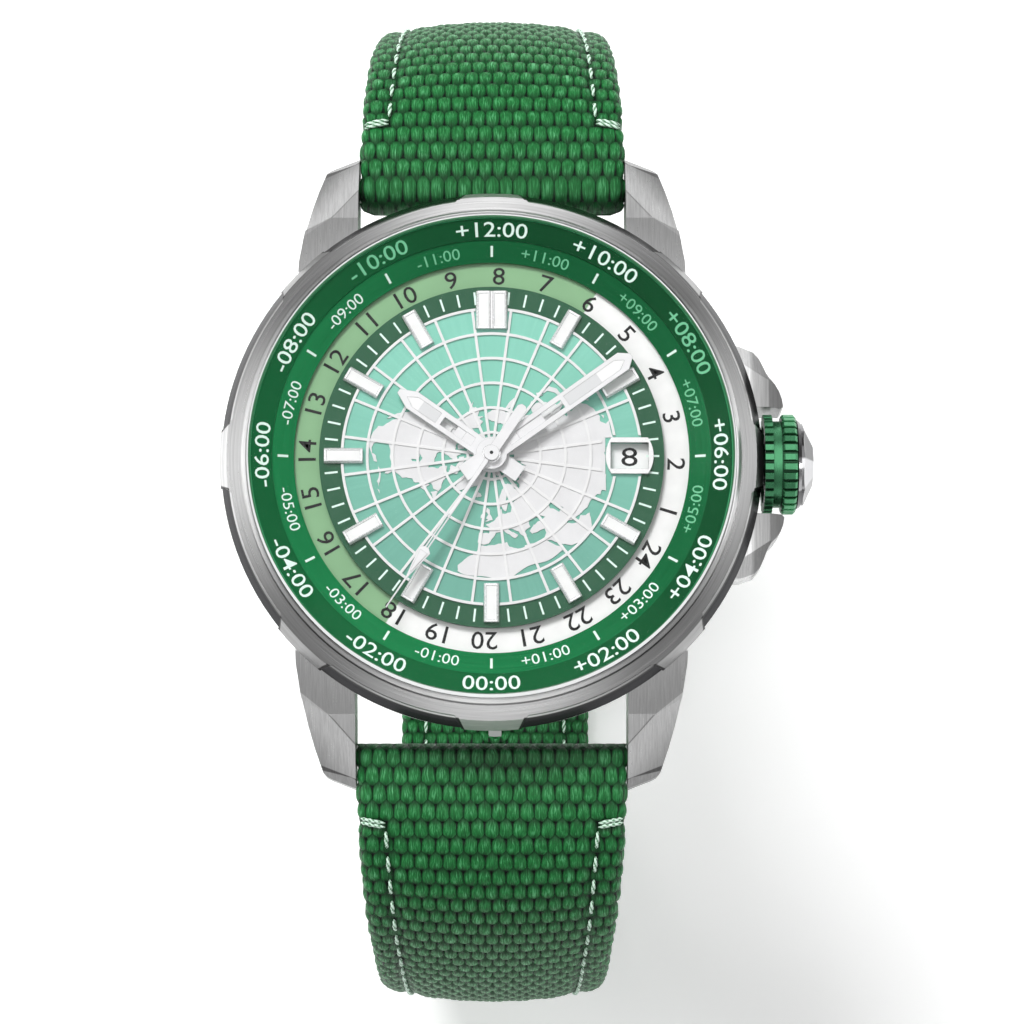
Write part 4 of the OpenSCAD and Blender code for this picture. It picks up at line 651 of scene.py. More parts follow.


# Coast points as (east longitude, latitude), listed; each list is one shore
SHORES = [
    [(-168, 65.7), (-161, 66.3), (-166, 68.5), (-156, 71.2), (-136, 69), (-128, 70.2), (-114, 67.9), (-100, 67.8),
     (-95, 68), (-94, 71.8), (-90, 69.5), (-82, 69.3), (-81, 67.5), (-86, 66.3), (-90, 64), (-94, 61), (-94.5, 58.8),
     (-92, 57), (-87, 56), (-82.3, 55), (-82, 52.8), (-79.5, 51.3), (-79, 54.5), (-76.6, 57), (-78.3, 59),
     (-77.5, 62.4), (-73.5, 62.2), (-69.5, 61), (-69.5, 58.9), (-66, 58.8), (-64.5, 60.2), (-61.5, 56.5), (-57, 54),
     (-56, 52), (-60, 50.2), (-66.5, 50.2), (-70, 47.2), (-64.8, 48.9), (-64.5, 47), (-61, 45.6), (-65.8, 43.6),
     (-66.8, 45), (-70, 43.6), (-70.5, 41.8), (-74, 40.5), (-75.7, 37.2), (-76, 35), (-79, 33.3), (-81.3, 31),
     (-80.2, 27), (-80.6, 25.2), (-82, 27), (-83, 29.5), (-85.5, 29.8), (-89.4, 29.3), (-94, 29.5), (-97.2, 27.5),
     (-97.7, 22.5), (-96, 19), (-94.2, 18.2), (-91.5, 18.6), (-90.3, 21), (-87, 21.5), (-88, 18.5), (-88.5, 15.9),
     (-83.3, 15), (-83.7, 11), (-81.5, 9), (-79.5, 9.5), (-77.4, 8.5), (-75.5, 10.6), (-72, 12.2), (-71.5, 10.8),
     (-68, 11), (-62, 10.5), (-60, 8.4), (-57, 6), (-52, 5), (-50.2, 0.4), (-80, 0.4), (-77.5, 3.5), (-77.7, 6.8),
     (-80.5, 7.4), (-83, 8.3), (-85.7, 10.5), (-87.6, 13), (-92, 14.5), (-95, 16), (-99.5, 16.7), (-105, 20),
     (-105.5, 22.5), (-109.3, 26), (-112.8, 30.5), (-114.7, 31.2), (-112.8, 28.2), (-110.3, 24.4), (-109.8, 23),
     (-112, 25), (-114.5, 28), (-116.5, 31), (-118.5, 34), (-121, 35.5), (-123, 38.5), (-124.3, 41), (-124, 46),
     (-124.6, 48.4), (-122.6, 49), (-127.5, 51.5), (-130.5, 55), (-134, 58), (-139, 59.8), (-146, 60.6),
     (-151.5, 59.3), (-152, 61), (-156, 58), (-162, 55), (-158, 58.5), (-162, 58.8), (-165.5, 61.5), (-161, 64.5)],
    [(-73, 78.2), (-60, 82), (-45, 82.6), (-30, 83.4), (-22, 82), (-20, 80), (-19, 76), (-22, 72.5), (-25, 70.5),
     (-32, 68), (-38, 65.8), (-42, 62), (-44, 60), (-48, 61), (-51.5, 64), (-53.5, 67), (-51, 69.5), (-55, 71.5),
     (-58, 75), (-66, 76)],
    [(-90, 76.5), (-80, 76.3), (-78, 78), (-70, 80), (-62, 82.3), (-75, 83), (-90, 82), (-95, 80.5), (-88, 78.5)],
    [(-80, 73.7), (-77, 72.7), (-70, 70.5), (-67, 69), (-62, 66.8), (-64, 65), (-68, 63), (-66, 62), (-72, 63.8),
     (-78, 65), (-73, 67.5), (-79, 70), (-88, 70.8), (-89, 73.5)],
    [(-117, 70), (-105, 68.8), (-101, 69.8), (-105, 73), (-114, 73.2)],
    [(-125, 72), (-121, 71.5), (-117, 73.5), (-122, 74.5)],
    [(-59, 47.7), (-55.5, 47), (-53, 46.8), (-53.5, 48.5), (-55.8, 51.5), (-57.5, 50.5)],
    [(-84.8, 22), (-81, 23.1), (-77, 21.6), (-74.3, 20.2), (-77.5, 19.9), (-78, 20.8), (-82, 22.3)],
    [(-74.3, 18.5), (-73, 19.9), (-68.5, 18.7), (-71.5, 17.8)],
    [(-24, 65.5), (-22, 66.4), (-16, 66.4), (-13.6, 65), (-18.5, 63.4), (-22.5, 63.9)],
    [(-5.5, 50), (1.3, 51.2), (0.3, 53), (-1.5, 55), (-2, 57.5), (-5, 58.6), (-5.8, 56.5), (-3, 54.5), (-4.6, 53),
     (-5, 51.7), (-3, 51.3)],
    [(-10, 51.7), (-6.3, 52.3), (-6, 54.5), (-8.3, 55.2), (-10, 54)],
    [(11, 79), (16, 77), (22, 78.5), (27, 80), (15, 80)],
    [(52, 71), (57, 70.6), (56, 73), (66, 76.8), (60, 76.2), (53.5, 73)],
    [(25.7, 71.1), (31, 70.3), (41, 67.5), (41, 66.5), (33.5, 66.6), (37, 64), (40.5, 64.7), (44, 66.1), (44, 68.5),
     (54, 68.3), (60.5, 69.8), (68, 68.3), (67, 70), (68, 73), (73, 71.8), (73.5, 68), (76, 72.5), (81, 72), (87, 75),
     (98, 76.3), (104, 77.7), (113.5, 75.8), (109, 73.8), (123, 73), (129.5, 71), (140, 72.5), (152, 71),
     (160, 69.6), (170, 69.8), (180, 68.9), (190, 66), (187, 64.4), (179.5, 62.5), (171, 60.2), (164, 59.8),
     (162.5, 56.5), (159.8, 53.2), (156.8, 51), (155.8, 56), (162, 60.5), (163.5, 62.4), (156.5, 61.2), (149, 59.5),
     (142, 59.2), (135.5, 54.7), (141, 52.8), (140.5, 48.5), (135.5, 44), (132, 43.2), (129.8, 41), (127.5, 39.5),
     (129.4, 36.5), (126.5, 34.5), (126.2, 37.5), (124.5, 40), (121.5, 39), (121.5, 40.8), (118, 39), (122.3, 37.2),
     (119.5, 35), (121.8, 31.5), (121.5, 28.5), (118.5, 24.6), (114, 22.3), (110.2, 21.3), (108, 21.6), (105.8, 19),
     (109, 14), (109, 11.5), (105, 8.7), (104.8, 10.5), (100.7, 13.4), (99.8, 9.3), (103.2, 5), (104, 1.4),
     (101.5, 2.8), (100.3, 6), (98.4, 8.5), (98.6, 13), (97.6, 16.6), (94.4, 16.2), (94.3, 18.8), (91.8, 22.5),
     (88, 21.7), (82.3, 16.7), (80.2, 13), (79.8, 10.3), (77.5, 8.1), (75.5, 11.5), (73, 17), (72.7, 21), (70.3, 21),
     (70, 22.8), (67, 24.8), (61.5, 25.2), (57, 26.8), (52, 27.8), (49, 30.2), (48, 29.8), (50.2, 26.5), (51.6, 25),
     (56.2, 26), (57, 24), (59.8, 22.4), (55.5, 17.5), (52, 15.5), (45, 12.8), (43.3, 13), (42.5, 16.8), (39, 21.5),
     (35, 28), (32.6, 29.8), (35.5, 24), (37.3, 20.8), (39.5, 15.6), (43.2, 12), (44.5, 10.4), (51, 11.8), (49, 6),
     (45.5, 2), (43, 0.4), (9.5, 0.4), (9.6, 3.8), (8.5, 4.7), (4.5, 6.3), (-2, 4.8), (-7.6, 4.4), (-13, 8.5),
     (-16.8, 12.5), (-17.4, 14.8), (-16.2, 18.5), (-17, 21), (-13, 27.8), (-9.8, 30), (-6, 35.7), (0, 36), (10, 37.3),
     (11, 34), (15.5, 32.2), (19.5, 30.4), (20, 32.7), (25, 31.7), (32.3, 31.2), (35, 33), (36, 36.3), (31, 36.7),
     (27.3, 37), (26.5, 39.5), (31, 41.3), (36, 41.5), (41.5, 41.3), (38, 44.5), (33.5, 44.5), (31, 46.6),
     (28.5, 43.5), (28.5, 41.5), (23.5, 40.5), (23.8, 38), (22.5, 36.5), (20, 39.8), (19.3, 42), (13.8, 45.2),
     (12.3, 44.5), (16, 41.8), (18.4, 40), (15.8, 38), (12.3, 41.6), (9, 44.3), (3.3, 43.2), (0, 39.5), (-2, 36.8),
     (-5.5, 36.1), (-9, 37.2), (-9, 43), (-1.6, 43.4), (-1.5, 46.5), (-4.5, 48.3), (1.5, 50.5), (4.5, 52.5),
     (8.5, 54), (8.3, 57), (10.5, 57.5), (10.5, 54.5), (14, 54), (19, 54.5), (21.2, 56.9), (24, 57.3), (24, 59.2),
     (30, 59.9), (23, 60), (21.3, 62.5), (25.3, 65), (22, 65.8), (17.5, 61.8), (18.8, 60), (16.5, 57), (14.2, 55.5),
     (12.7, 56), (10.8, 59), (7.5, 58), (5.2, 60.5), (12.5, 66), (17, 68.7)],
    [(50, 45.5), (53, 46.8), (52.8, 41.5), (54, 37.3), (50, 37.5), (49.3, 41.5), (47.5, 43)],
    [(-92, 46.8), (-88.5, 48.6), (-84.7, 46.8)],
    [(-87.8, 42), (-87.4, 45), (-85.6, 45.6), (-86.3, 42.2)],
    [(131, 34), (135.8, 33.5), (140.8, 35.7), (142, 39.5), (141, 41.4), (139.8, 38.5), (136.8, 36.8), (132.5, 35.5)],
    [(140, 41.8), (143.2, 42), (145.3, 43.3), (142, 45.4), (141.2, 43.3)],
    [(142, 46.2), (143.3, 49), (144.5, 49), (142.8, 54.3), (142, 51)],
    [(120.2, 23), (121.5, 25.2), (120.9, 22)],
    [(108.7, 19), (110.9, 20), (110, 18.4)],
    [(120.3, 16), (120.7, 18.5), (122.2, 18.3), (121.6, 14.2), (124, 12.8), (120.6, 13.9)],
]


# Latitude where the shown land ends
SOUTH = 18.0


def shore_line(points, rim):
    """One shore on the dial: straight runs in longitude and latitude are filled in every 1.5 degrees, a small wave
    roughens them, and the pole-centred map puts latitude on the radius (rim at the equator) and longitude 0 at 6."""
    p = np.array(points + points[:1], float)
    run = np.concatenate(([0.0], np.cumsum(np.hypot(*np.diff(p, axis=0).T))))
    t = np.unique(np.concatenate((run, np.arange(0.0, run[-1], 1.5))))[:-1]
    east, north = np.interp(t, run, p[:, 0]), np.interp(t, run, p[:, 1])
    north = np.clip(north + 0.22 * np.sin(2.1 * t + east) + 0.15 * np.sin(4.7 * t), 0.3, 88.0)
    radius, angle = rim * (90.0 - north) / 90.0, np.radians(east - 90.0)
    return np.stack((radius * np.cos(angle), radius * np.sin(angle)), 1)


def land_relief(rim, height):
    """The land as one raised sheet: shores filled as a flat curve, lakes left open."""
    data = bpy.data.curves.new("land", "CURVE")
    data.dimensions, data.fill_mode = "2D", "BOTH"
    data.extrude = height / 2
    for line in (shore_line(shore, rim) for shore in SHORES):
        spline = data.splines.new("POLY")
        spline.points.add(len(line) - 1)
        flat = np.zeros((len(line), 4))
        flat[:, :2], flat[:, 3] = line, 1.0
        spline.points.foreach_set("co", flat.ravel())
        spline.use_cyclic_u = True
    points, faces = flat_mesh(data)
    return points + (0, 0, height / 2), faces


def land_limit(rim):
    """A flat disc whose edge is the last parallel shown, waving by 0.25 sin 7a + 0.15 sin 17a mm at the angle a."""
    edge = circle(rim * (90.0 - SOUTH) / 90.0, 360, lambda a: 0.25 * np.sin(7 * a) + 0.15 * np.sin(17 * a + 1))
    return plate(edge, DIAL_Z - 0.5, DIAL_Z + 0.5)


def cut(target, points, faces, how="DIFFERENCE"):
    """Takes a solid, given by its mm points and faces, off a piece for good, or keeps only what they share."""
    mesh = bpy.data.meshes.new("cutter")
    mesh.from_pydata((points * MM).tolist(), [], [tuple(map(int, f)) for f in faces])
    cutter = bpy.data.objects.new("cutter", mesh)
    bpy.context.scene.collection.objects.link(cutter)
    step = target.modifiers.new("cut", "BOOLEAN")
    step.operation, step.object, step.solver = how, cutter, "EXACT"
    bpy.context.view_layer.update()
    done = bpy.data.meshes.new_from_object(target.evaluated_get(bpy.context.evaluated_depsgraph_get()))
    target.modifiers.clear()
    old = target.data
    target.data = done
    bpy.data.meshes.remove(old)
    bpy.data.objects.remove(cutter)
    bpy.data.meshes.remove(mesh)


class WATCH_OT_dial(Operator):
    """Paint the dial, raise the land on the map, print the minutes and finish the markers and the date"""

    bl_idname = "watch.dial"
    bl_label = "Dial, map and markers"

    def execute(self, context):
        c, p = context.scene.watch_colours, context.scene.watch_print
        white = lacquer("white_lacquer", c.white, 0.3, 0.003, 0.04)
        steel = lacquer("marker_steel", srgb(232, 232, 233), 0.26, 0.001, 0.04, 0.45, 0.05)
        dress(dial_paint(c), "dial_plate")
        dress(lacquer("grid_white", srgb(230, 230, 230), 0.35, 0.002, 0.03), "map_grid")
        dress(steel, "hour_markers")
        dress(lacquer("frame_steel", srgb(226, 226, 226), 0.3, 0.001, 0.03, 0.5, 0.05), "date_frame")
        dress(lacquer("lume_white", srgb(240, 241, 240), 0.5, 0.01, 0.0), "marker_lume")
        dress(lacquer("date_white", srgb(244, 244, 244), 0.4, 0.002, 0.0), "date_disc")
        points, faces = boxes(np.array([(-0.08, 10.35, DIAL_Z)]), np.array([(0.08, 13.45, DIAL_Z + 0.42)]))
        piece("marker_bridge", points, faces, steel, "case")
        points, faces = land_relief(MAP_RIM - 0.02, p.land)
        land = piece("land_relief", points + (0, 0, DIAL_Z), faces, white, "case")
        low, high = (np.array(v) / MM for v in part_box("date_frame"))
        cut(land, *boxes(np.array([low - (0.02, 0.02, 1)]), np.array([high + (5, 0.02, 1)])))
        cut(land, *land_limit(MAP_RIM), "INTERSECT")
        half = p.tick_width / 2
        points, faces = boxes(np.tile((12.42, -half, DIAL_Z), (60, 1)),
                              np.tile((13.47, half, DIAL_Z + p.ink), (60, 1)))
        points = turned(points.reshape(60, 8, 3), np.radians(np.arange(60) * 6.0)[:, None]).reshape(-1, 3)
        piece("minute_lines", points, faces, ink("print_ink", c.print_ink), "case")
        points, faces = number("8", 1.5, 1.4, 0.0, p.ink)
        black = ink("digit_ink", c.digit_ink)
        piece("date_number", points + (11.08, 0, DATE_Z), faces, black, "date_disc")
        return {"FINISHED"}


class WATCH_OT_hour_ring(Operator):
    """Paint the 24-hour ring and print its numbers, which climb anticlockwise"""

    bl_idname = "watch.hour_ring"
    bl_label = "24-hour ring"

    def execute(self, context):
        c, p = context.scene.watch_colours, context.scene.watch_print
        dress(hour_ring_paint(c, p.ring_turn), "ring_24h")
        parts = []
        for hour in range(1, 25):
            points, faces = number(str(hour), p.digit_height, 1.1, 0.004, p.ink)
            parts.append((on_ring(points, p.digit_radius, (8 - hour) * 15.0 + math.degrees(p.ring_turn)), faces))
        points, faces = joined(parts)
        piece("hour_numbers", points + (0, 0, RING_Z), faces, ink("hour_ink", c.digit_ink), "ring_24h")
        return {"FINISHED"}


def flange_height(radius):
    """Height of the zone ring's face at a radius: two straight slopes with a small step between them."""
    inner = 8.3 + (radius - 15.9) * (8.98 - 8.3) / (ZONE_STEP - 15.9)
    outer = 9.1 + (radius - ZONE_STEP) * (9.7 - 9.1) / (19.32 - ZONE_STEP)
    return np.where(radius < ZONE_STEP, inner, outer)


class WATCH_OT_zone_ring(Operator):
    """Print the zone ring with offsets in hours and minutes: even hours outside, odd ones inside"""

    bl_idname = "watch.zone_ring"
    bl_label = "Zone ring print"

    def execute(self, context):
        c, p = context.scene.watch_colours, context.scene.watch_print
        bright, dim = [], []
        for zone in range(-11, 13):
            outer = zone % 2 == 0
            clock = 180.0 - zone * 15.0
            low_half = 91.0 < clock % 360 < 269.0
            text = "00:00" if zone == 0 else "%+03d:00" % zone
            height, wide = (p.zone_height, 1.3) if outer else (p.zone_height_in, 1.18)
            points, faces = number(text, height, wide, 0.004 if outer else 0.0, p.ink)
            lot = dim if zone in (5, 7, 8, 9, 11, -10, -11) else bright
            lot.append((on_ring(points, ZONE_OUT if outer else ZONE_IN, clock, low_half), faces))
            if outer:
                points, faces = boxes(np.array([(-0.1, -0.42, 0.0)]), np.array([(0.1, 0.42, p.ink)]))
                bright.append((on_ring(points, ZONE_IN, clock), faces))
        for tail, tone, lot in (("", c.print_ink, bright), ("_dim", c.print_dim, dim)):
            points, faces = joined(lot)
            points[:, 2] += flange_height(np.hypot(points[:, 0], points[:, 1]))
            piece("zone_print" + tail, points, faces, ink("zone_ink" + tail, tone), "case")
        return {"FINISHED"}


class WATCH_OT_hands(Operator):
    """Finish the hands and their lume, and draw their channels and the seconds needle"""

    bl_idname = "watch.hands"
    bl_label = "Hands"

    def execute(self, context):
        white = lacquer("hand_white", srgb(230, 230, 231), 0.3, 0.002, 0.05, 0.0, 0.07)
        dress(white, "hour_hand minute_hand seconds_hand")
        self.needle(white)
        for hand, clock, top, wide, inner, floor, start in (("hour", HOUR, 9.3, 0.74, 1.78, 3.5, 6.9),
                                                            ("minute", MINUTE, 9.8, 0.7, 1.68, 5.1, 10.6)):
            dress(hand_lume(hand + "_lume_window", clock, start), hand + "_lume")
            side = wide / 2 + 0.02
            points, faces = boxes(np.array([(inner, -side, top - 0.19), (inner, -side, top - 0.17)]),
                                  np.array([(inner + 0.9, side, top - 0.02), (floor, side, top - 0.1)]))
            piece(hand + "_channel", turned(points, math.radians(90 - clock)), faces, white, hand)
        points, faces = plate(circle(0.14), 10.36, 10.42)
        pin = lacquer("arbor_end", srgb(60, 62, 62), 0.3, 0.002, 0.0, 0.8)
        piece("arbor_end", points, faces, pin, "seconds")
        return {"FINISHED"}

    def needle(self, finish):
        """The seconds hand from flat outlines (x across, y along the hand): hub, tail, a stem that splits into two
        rails, and an arrowhead with a raised face and a thin tip."""
        half = [(-0.2, 9.2), (-0.52, 9.5), (-0.3, 10.8), (-0.08, 12.0), (-0.05, 15.0)]
        head = half[:1] + [(-x, y) for x, y in half] + half[:0:-1]
        low, high = 10.05, 10.25
        parts = [plate(head, low, high),
                 plate([(-0.34, 9.62), (0.34, 9.62), (0.06, 11.5), (-0.06, 11.5)], high, high + 0.05),
                 plate([(-0.18, 0.0), (0.18, 0.0), (0.16, 6.0), (-0.16, 6.0)], low, high),
                 *(plate([(x, 6.0), (x + 0.12, 6.0), (x + 0.12, 9.2), (x, 9.2)], low, high) for x in (-0.17, 0.05)),
                 plate([(-0.17, -4.65), (0.17, -4.65), (0.42, -4.4), (0.42, 0.0), (-0.42, 0.0), (-0.42, -4.4)],
                       low, high),
                 plate(circle(0.62), low, high + 0.15), plate(circle(0.2), low - 1.0, low + 0.1)]
        points, faces = joined(parts)
        made = piece("seconds_needle", turned(points, math.radians(-SECOND)), faces, finish, "seconds")
        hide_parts("seconds_hand")


# ---------------------------------------------------------------- strap

# The spring bar (distance from the middle, height), and the strap's thickness round it and where it is flat
BAR, EYE, FLAT = (23.5, 1.0), 3.6, 2.4
# Centre lines of the two halves, as straight runs (length, 0) and arcs (radius, turn in degrees)
SHORT = [(2.5, 0), (13, 60), (30, 30), (18, 76), (20, 0)]
LONG = [(2.5, 0), (13, 60), (30, 30), (60, 24), (22, 66), (47, 0)]
# The buckle's bar in the row frame (y, z) and the turn of its own axes
FOOT = (8.22625, -42.8038, math.radians(-166.0))
# Where the crown adds nothing, as a share of the half width, squared
LEVEL = 0.27
# A seam in the cloth: the share of the relief that it takes away, the width of its trace and its depth
PRESSED, TRACE, SUNK = 0.75, 0.6, 0.16
# A stitch: the depth of its ends, the height of its arch and the length of one twist of its plies
DIP, ARCH, TWIST = 0.14, 0.18, 0.62
# The short half's end: the length that is split for the tongue, how far it passes the bar and half the gap
SPLIT, PAST, GAP = 3.2, 1.17, 1.25
# The long half's holes: how many, their pitch, the last one's distance from the tip and their radius
HOLES, HOLE_PITCH, HOLE_TIP, HOLE_R = 7, 5.5, 14.0, 1.0


def run_of(path):
    """Length of a centre line whose parts are (length, 0) or (radius, turn in degrees)."""
    return sum(a if turn == 0 else a * math.radians(turn) for a, turn in path)


def centre_line(path, s):
    """Points (u, z) and headings of a centre line at distances s: each part is straight or a circular arc that turns
    down, so a heading h goes on as h - s / radius; before the start and past the end it runs on straight."""
    u, z, head = np.full_like(s, BAR[0]), np.full_like(s, BAR[1]), np.zeros_like(s)
    at, h, pu, pz = 0.0, 0.0, *BAR
    for index, (a, turn) in enumerate(path):
        size = a if turn == 0 else a * math.radians(turn)
        here = (s >= at) | (index == 0)
        d = s[here] - at
        if turn == 0:
            u[here], z[here], head[here] = pu + d * math.cos(h), pz + d * math.sin(h), h
            pu, pz = pu + size * math.cos(h), pz + size * math.sin(h)
        else:
            g = h - d / a
            u[here] = pu + a * (math.sin(h) - np.sin(g))
            z[here] = pz - a * (math.cos(h) - np.cos(g))
            head[here] = g
            e = h - math.radians(turn)
            pu, pz, h = pu + a * (math.sin(h) - math.sin(e)), pz - a * (math.cos(h) - math.cos(e)), e
        at += size
    return u, z, head


def yarn(along, across, cloth):
    """Height 0..1 of a weave of flat knots on a staggered grid, where row n is moved by half a pitch when n is odd.

    Each knot is (1 - |x / rx|^p - |y / ry|^p)^0.5 about its own middle, with p over 2, wider at its far end than at
    its near end, and the highest of the nearest knots shows; open corners stay between three of them."""
    row = np.round(along / cloth.row)
    best = np.zeros(np.broadcast(along, across).shape)
    for shift in (-1, 0, 1):
        near = row + shift
        y = along / cloth.row - near
        x = across / cloth.pitch - 0.5 * np.mod(near, 2)
        lot = np.sin(near * 12.9 + np.round(x) * 78.2)
        x = np.abs(x - np.round(x)) / (KNOT_WIDE + KNOT_FAN * y)
        dome = np.clip(1 - x ** KNOT_POWER - np.abs(y / KNOT_TALL) ** KNOT_POWER, 0.0, 1.0) ** 0.5
        best = np.maximum(best, dome * (0.94 + 0.06 * lot))
    return best


def strap_width(s):
    return np.interp(s, (0.0, 5.0, 12.0, 20.0, 30.0, 52.0), (22.0, 21.9, 20.9, 19.8, 19.0, 17.9))


def strap_thick(s):
    return EYE + (FLAT - EYE) * np.minimum(1.0, np.maximum(0.0, s) / 26.0)


def column(values):
    return np.asarray(values, float)[:, None]


def carried(path, s, x, out, side):
    """Points x across and `out` from a centre line at distances s; `side` is 1 towards +Y and -1 towards -Y."""
    u, z, head = (v.reshape(s.shape) for v in centre_line(path, s.ravel()))
    while u.ndim < x.ndim:
        u, z, head = u[..., None], z[..., None], head[..., None]
    return np.stack(np.broadcast_arrays(x, side * (u - out * np.sin(head)), z + out * np.cos(head)), -1)


def woven_band(path, s, left, right, thick, side, cloth, seams=(), step=0.2, crown=0.0):
    """A padded woven band carried along a centre line.

    Each station s has a rounded rectangle from `left` to `right` across and `thick` tall: two flats and four quarter
    rounds, its points pushed out by the weave. `side` is 1 towards +Y and -1 towards -Y. Seams press the cloth in:
    each is a pair (across at each s, distance where it starts). The outer face is crowned: it falls with the square
    of the distance from the middle. At 12 the end round the bar reaches further in, with rounded corners. Returns
    points, faces, uv in mm and tint."""
    left, right, half, along = column(left), column(right), column(thick) / 2, column(s)
    r = np.minimum(cloth.corner, np.minimum(half, (right - left) / 2) * 0.98)
    wide = float(np.max(right - left))
    top = np.linspace(0, 1, max(8, int(wide / step)))
    low = np.linspace(1, 0, max(6, int(wide / 0.8)))
    arc = np.linspace(0, 90, 6)[1:-1]
    # every loop point: share across the flat, quarter-round angle from straight up, and which end it hangs on
    share = np.concatenate((top, np.ones(10), low, np.zeros(10)))
    turn = np.concatenate((0 * top, arc, [90, 90], 90 + arc, 0 * low + 180, 180 + arc, [270, 270], 270 + arc))
    nx, nz = np.sin(np.radians(turn)), np.cos(np.radians(turn))
    is_low = (turn > 90) & (turn < 270)
    # of the two points at 90 and the two at 270 degrees, one stands on the upper round and one on the lower
    is_low[[len(top) + 5, len(turn) - 6]] = True
    cx = left + r + share * (right - left - 2 * r)
    cz = np.where(is_low, r - half, half - r)
    bent = np.where(turn > 180, 360 - turn, turn)
    curve = np.where(turn % 180 == 0, 0.0, np.radians(np.minimum(bent, 180 - bent)))
    across = cx + np.where(share > 0.5, 1.0, -1.0) * curve * r
    drawn = along - 0.9 * (1 - np.exp(-np.maximum(along, 0.0) / 2.6)) + 0 * across
    h = yarn(drawn, across, cloth)
    fade = np.ones_like(h)
    for where, begin in seams:
        gap = across - column(where)
        near = np.clip((along - begin) / TRACE, 0, 1)
        cross = np.sign(column(where)) * gap > -0.3
        fade = fade - PRESSED * near * np.exp(-((gap / TRACE) ** 2))
        fade = fade - PRESSED * cross * np.exp(-(((along - begin) / 0.45) ** 2))
    fade = np.clip(fade, 0.0, 1.0)
    # bar: a painted shadow darkening the cloth next to the spring bar, down to 0.4
    bar = 0.4 + 0.6 * np.clip((along + 0.6) / 2.4, 0.0, 1.0)
    push = r + cloth.relief * (h * (0.45 + 0.55 * fade) - 0.75) - SUNK * (1 - fade)
    x, out = cx + nx * push, cz + nz * push
    middle = (x / (0.5 * (right - left))) ** 2
    out = out + np.clip(0.5 + out / (2 * half), 0.0, 1.0) * column(crown + 0 * s) * (LEVEL - middle)
    points = carried(path, s, x, out, side)
    if side > 0:
        inside = np.clip((right - np.abs(x)) / 1.6, 0.0, 1.0)
        points[..., 1] -= 0.95 * np.sqrt(inside * (2 - inside)) * np.clip((1.0 - along) / 2.0, 0.0, 1.0)
    rows, columns = x.shape
    ends = np.arange(columns), (rows - 1) * columns + np.arange(columns)[::-1]
    faces = [tuple(f[::-side]) for f in (*grid_faces(rows, columns).tolist(), *(end[::-1].tolist() for end in ends))]
    # tint: painted shade from the seams and the painted shadow by the bar
    return points.reshape(-1, 3), faces, np.stack((across, drawn), -1).reshape(-1, 2), (fade * bar).reshape(-1)


def stations(start, dense_to, end, step, coarse):
    """Distances from start to end, in steps up to dense_to and coarser ones past it."""
    return np.unique(np.concatenate((np.arange(start, min(dense_to, end), step), np.arange(dense_to, end, coarse),
                                     [end])))


def crown_of(s, cloth):
    """Crown at a distance: none round the bar, full from 12 mm on, and less on the flat end."""
    rise = np.clip((s - 1.5) / 10.5, 0.0, 1.0)
    return cloth.crown * rise * rise * (3 - 2 * rise) * np.clip((95.0 - s) / 30.0, 0.3, 1.0)


def stitches(path, s0, s1, x0, x1, side, cloth, lift=0.0, under=False):
    """Twisted stitches on the band, each from (s0, x0) to (s1, x1), all arrays: a tube round an arched line, its
    radius waving twice round so that two plies show; the arch dips into the cloth at both ends. Returns points,
    faces and tint."""
    count, rows, columns = len(s0), 9, 8
    t = np.linspace(0, 1, rows)
    ds, dx = column(s1 - s0), column(x1 - x0)
    s, x, reach = column(s0) + ds * t, column(x0) + dx * t, np.hypot(ds, dx)
    sign = -1.0 if under else 1.0
    out = sign * (strap_thick(s) / 2 - DIP + lift + ARCH * np.sin(np.pi * t))
    if not under:
        out = out + crown_of(s, cloth) * (LEVEL - (x / strap_width(s) * 2) ** 2)
    spin = np.linspace(0, 2 * np.pi, columns, endpoint=False)
    wave = 2 * spin + 2 * np.pi * (t * reach / TWIST)[..., None]
    close = np.sqrt(np.clip(1 - (2 * t - 1) ** 6, 0.06, 1))[:, None]
    radius = cloth.thread / 2 * (0.86 + 0.2 * np.cos(wave)) * close
    flat, tall = radius * np.cos(spin), radius * np.sin(spin) * sign
    points = carried(path, s, x[..., None] + flat * (ds / reach)[..., None], tall + out[..., None], side)
    head = centre_line(path, s.ravel())[2].reshape(s.shape)
    slide = flat * (-dx / reach)[..., None]
    points += slide[..., None] * np.stack((0 * head, side * np.cos(head), np.sin(head)), -1)[:, :, None]
    caps = np.stack((np.arange(columns), (rows - 1) * columns + np.arange(columns)[::-1]))
    order = -1 if side * sign > 0 else 1
    step = rows * columns * np.arange(count)[:, None, None]
    faces = [tuple(f) for lot, way in ((grid_faces(rows, columns), order), (caps, -order))
             for f in (lot[None, :, ::way] + step).reshape(-1, lot.shape[1]).tolist()]
    return points.reshape(-1, 3), faces, (0.5 + 0.5 * np.cos(wave)).reshape(-1)


def seam_stitches(path, end, side, cloth, under=False):
    """Both long seams of a half, and for the outer face the cross stitches at the bar end."""
    s0 = np.arange(cloth.seam_start + 0.5, end, cloth.stitch_pitch)
    s1 = s0 + cloth.stitch
    flat = -0.17 * under * column(np.clip((s0 - end + 12.5) / 2, 0.0, 1.0))
    parts = []
    for hand in (-1, 1):
        x0, x1 = (hand * (strap_width(v) / 2 - cloth.seam_inset) for v in (s0, s1))
        parts.append(stitches(path, s0, s1, x0, x1, side, cloth, flat, under))
    if not under:
        b = cloth.seam_start
        edge = float(strap_width(b)) / 2
        for hand in (-1, 1):
            for shift in (-0.13, 0.17):
                ends = [np.array([v]) for v in (b + shift, b - 0.35 + shift, hand * (edge - cloth.seam_inset),
                                                hand * (edge - 0.3))]
                parts.append(stitches(path, *ends, side, cloth, 0.05))
    return parts


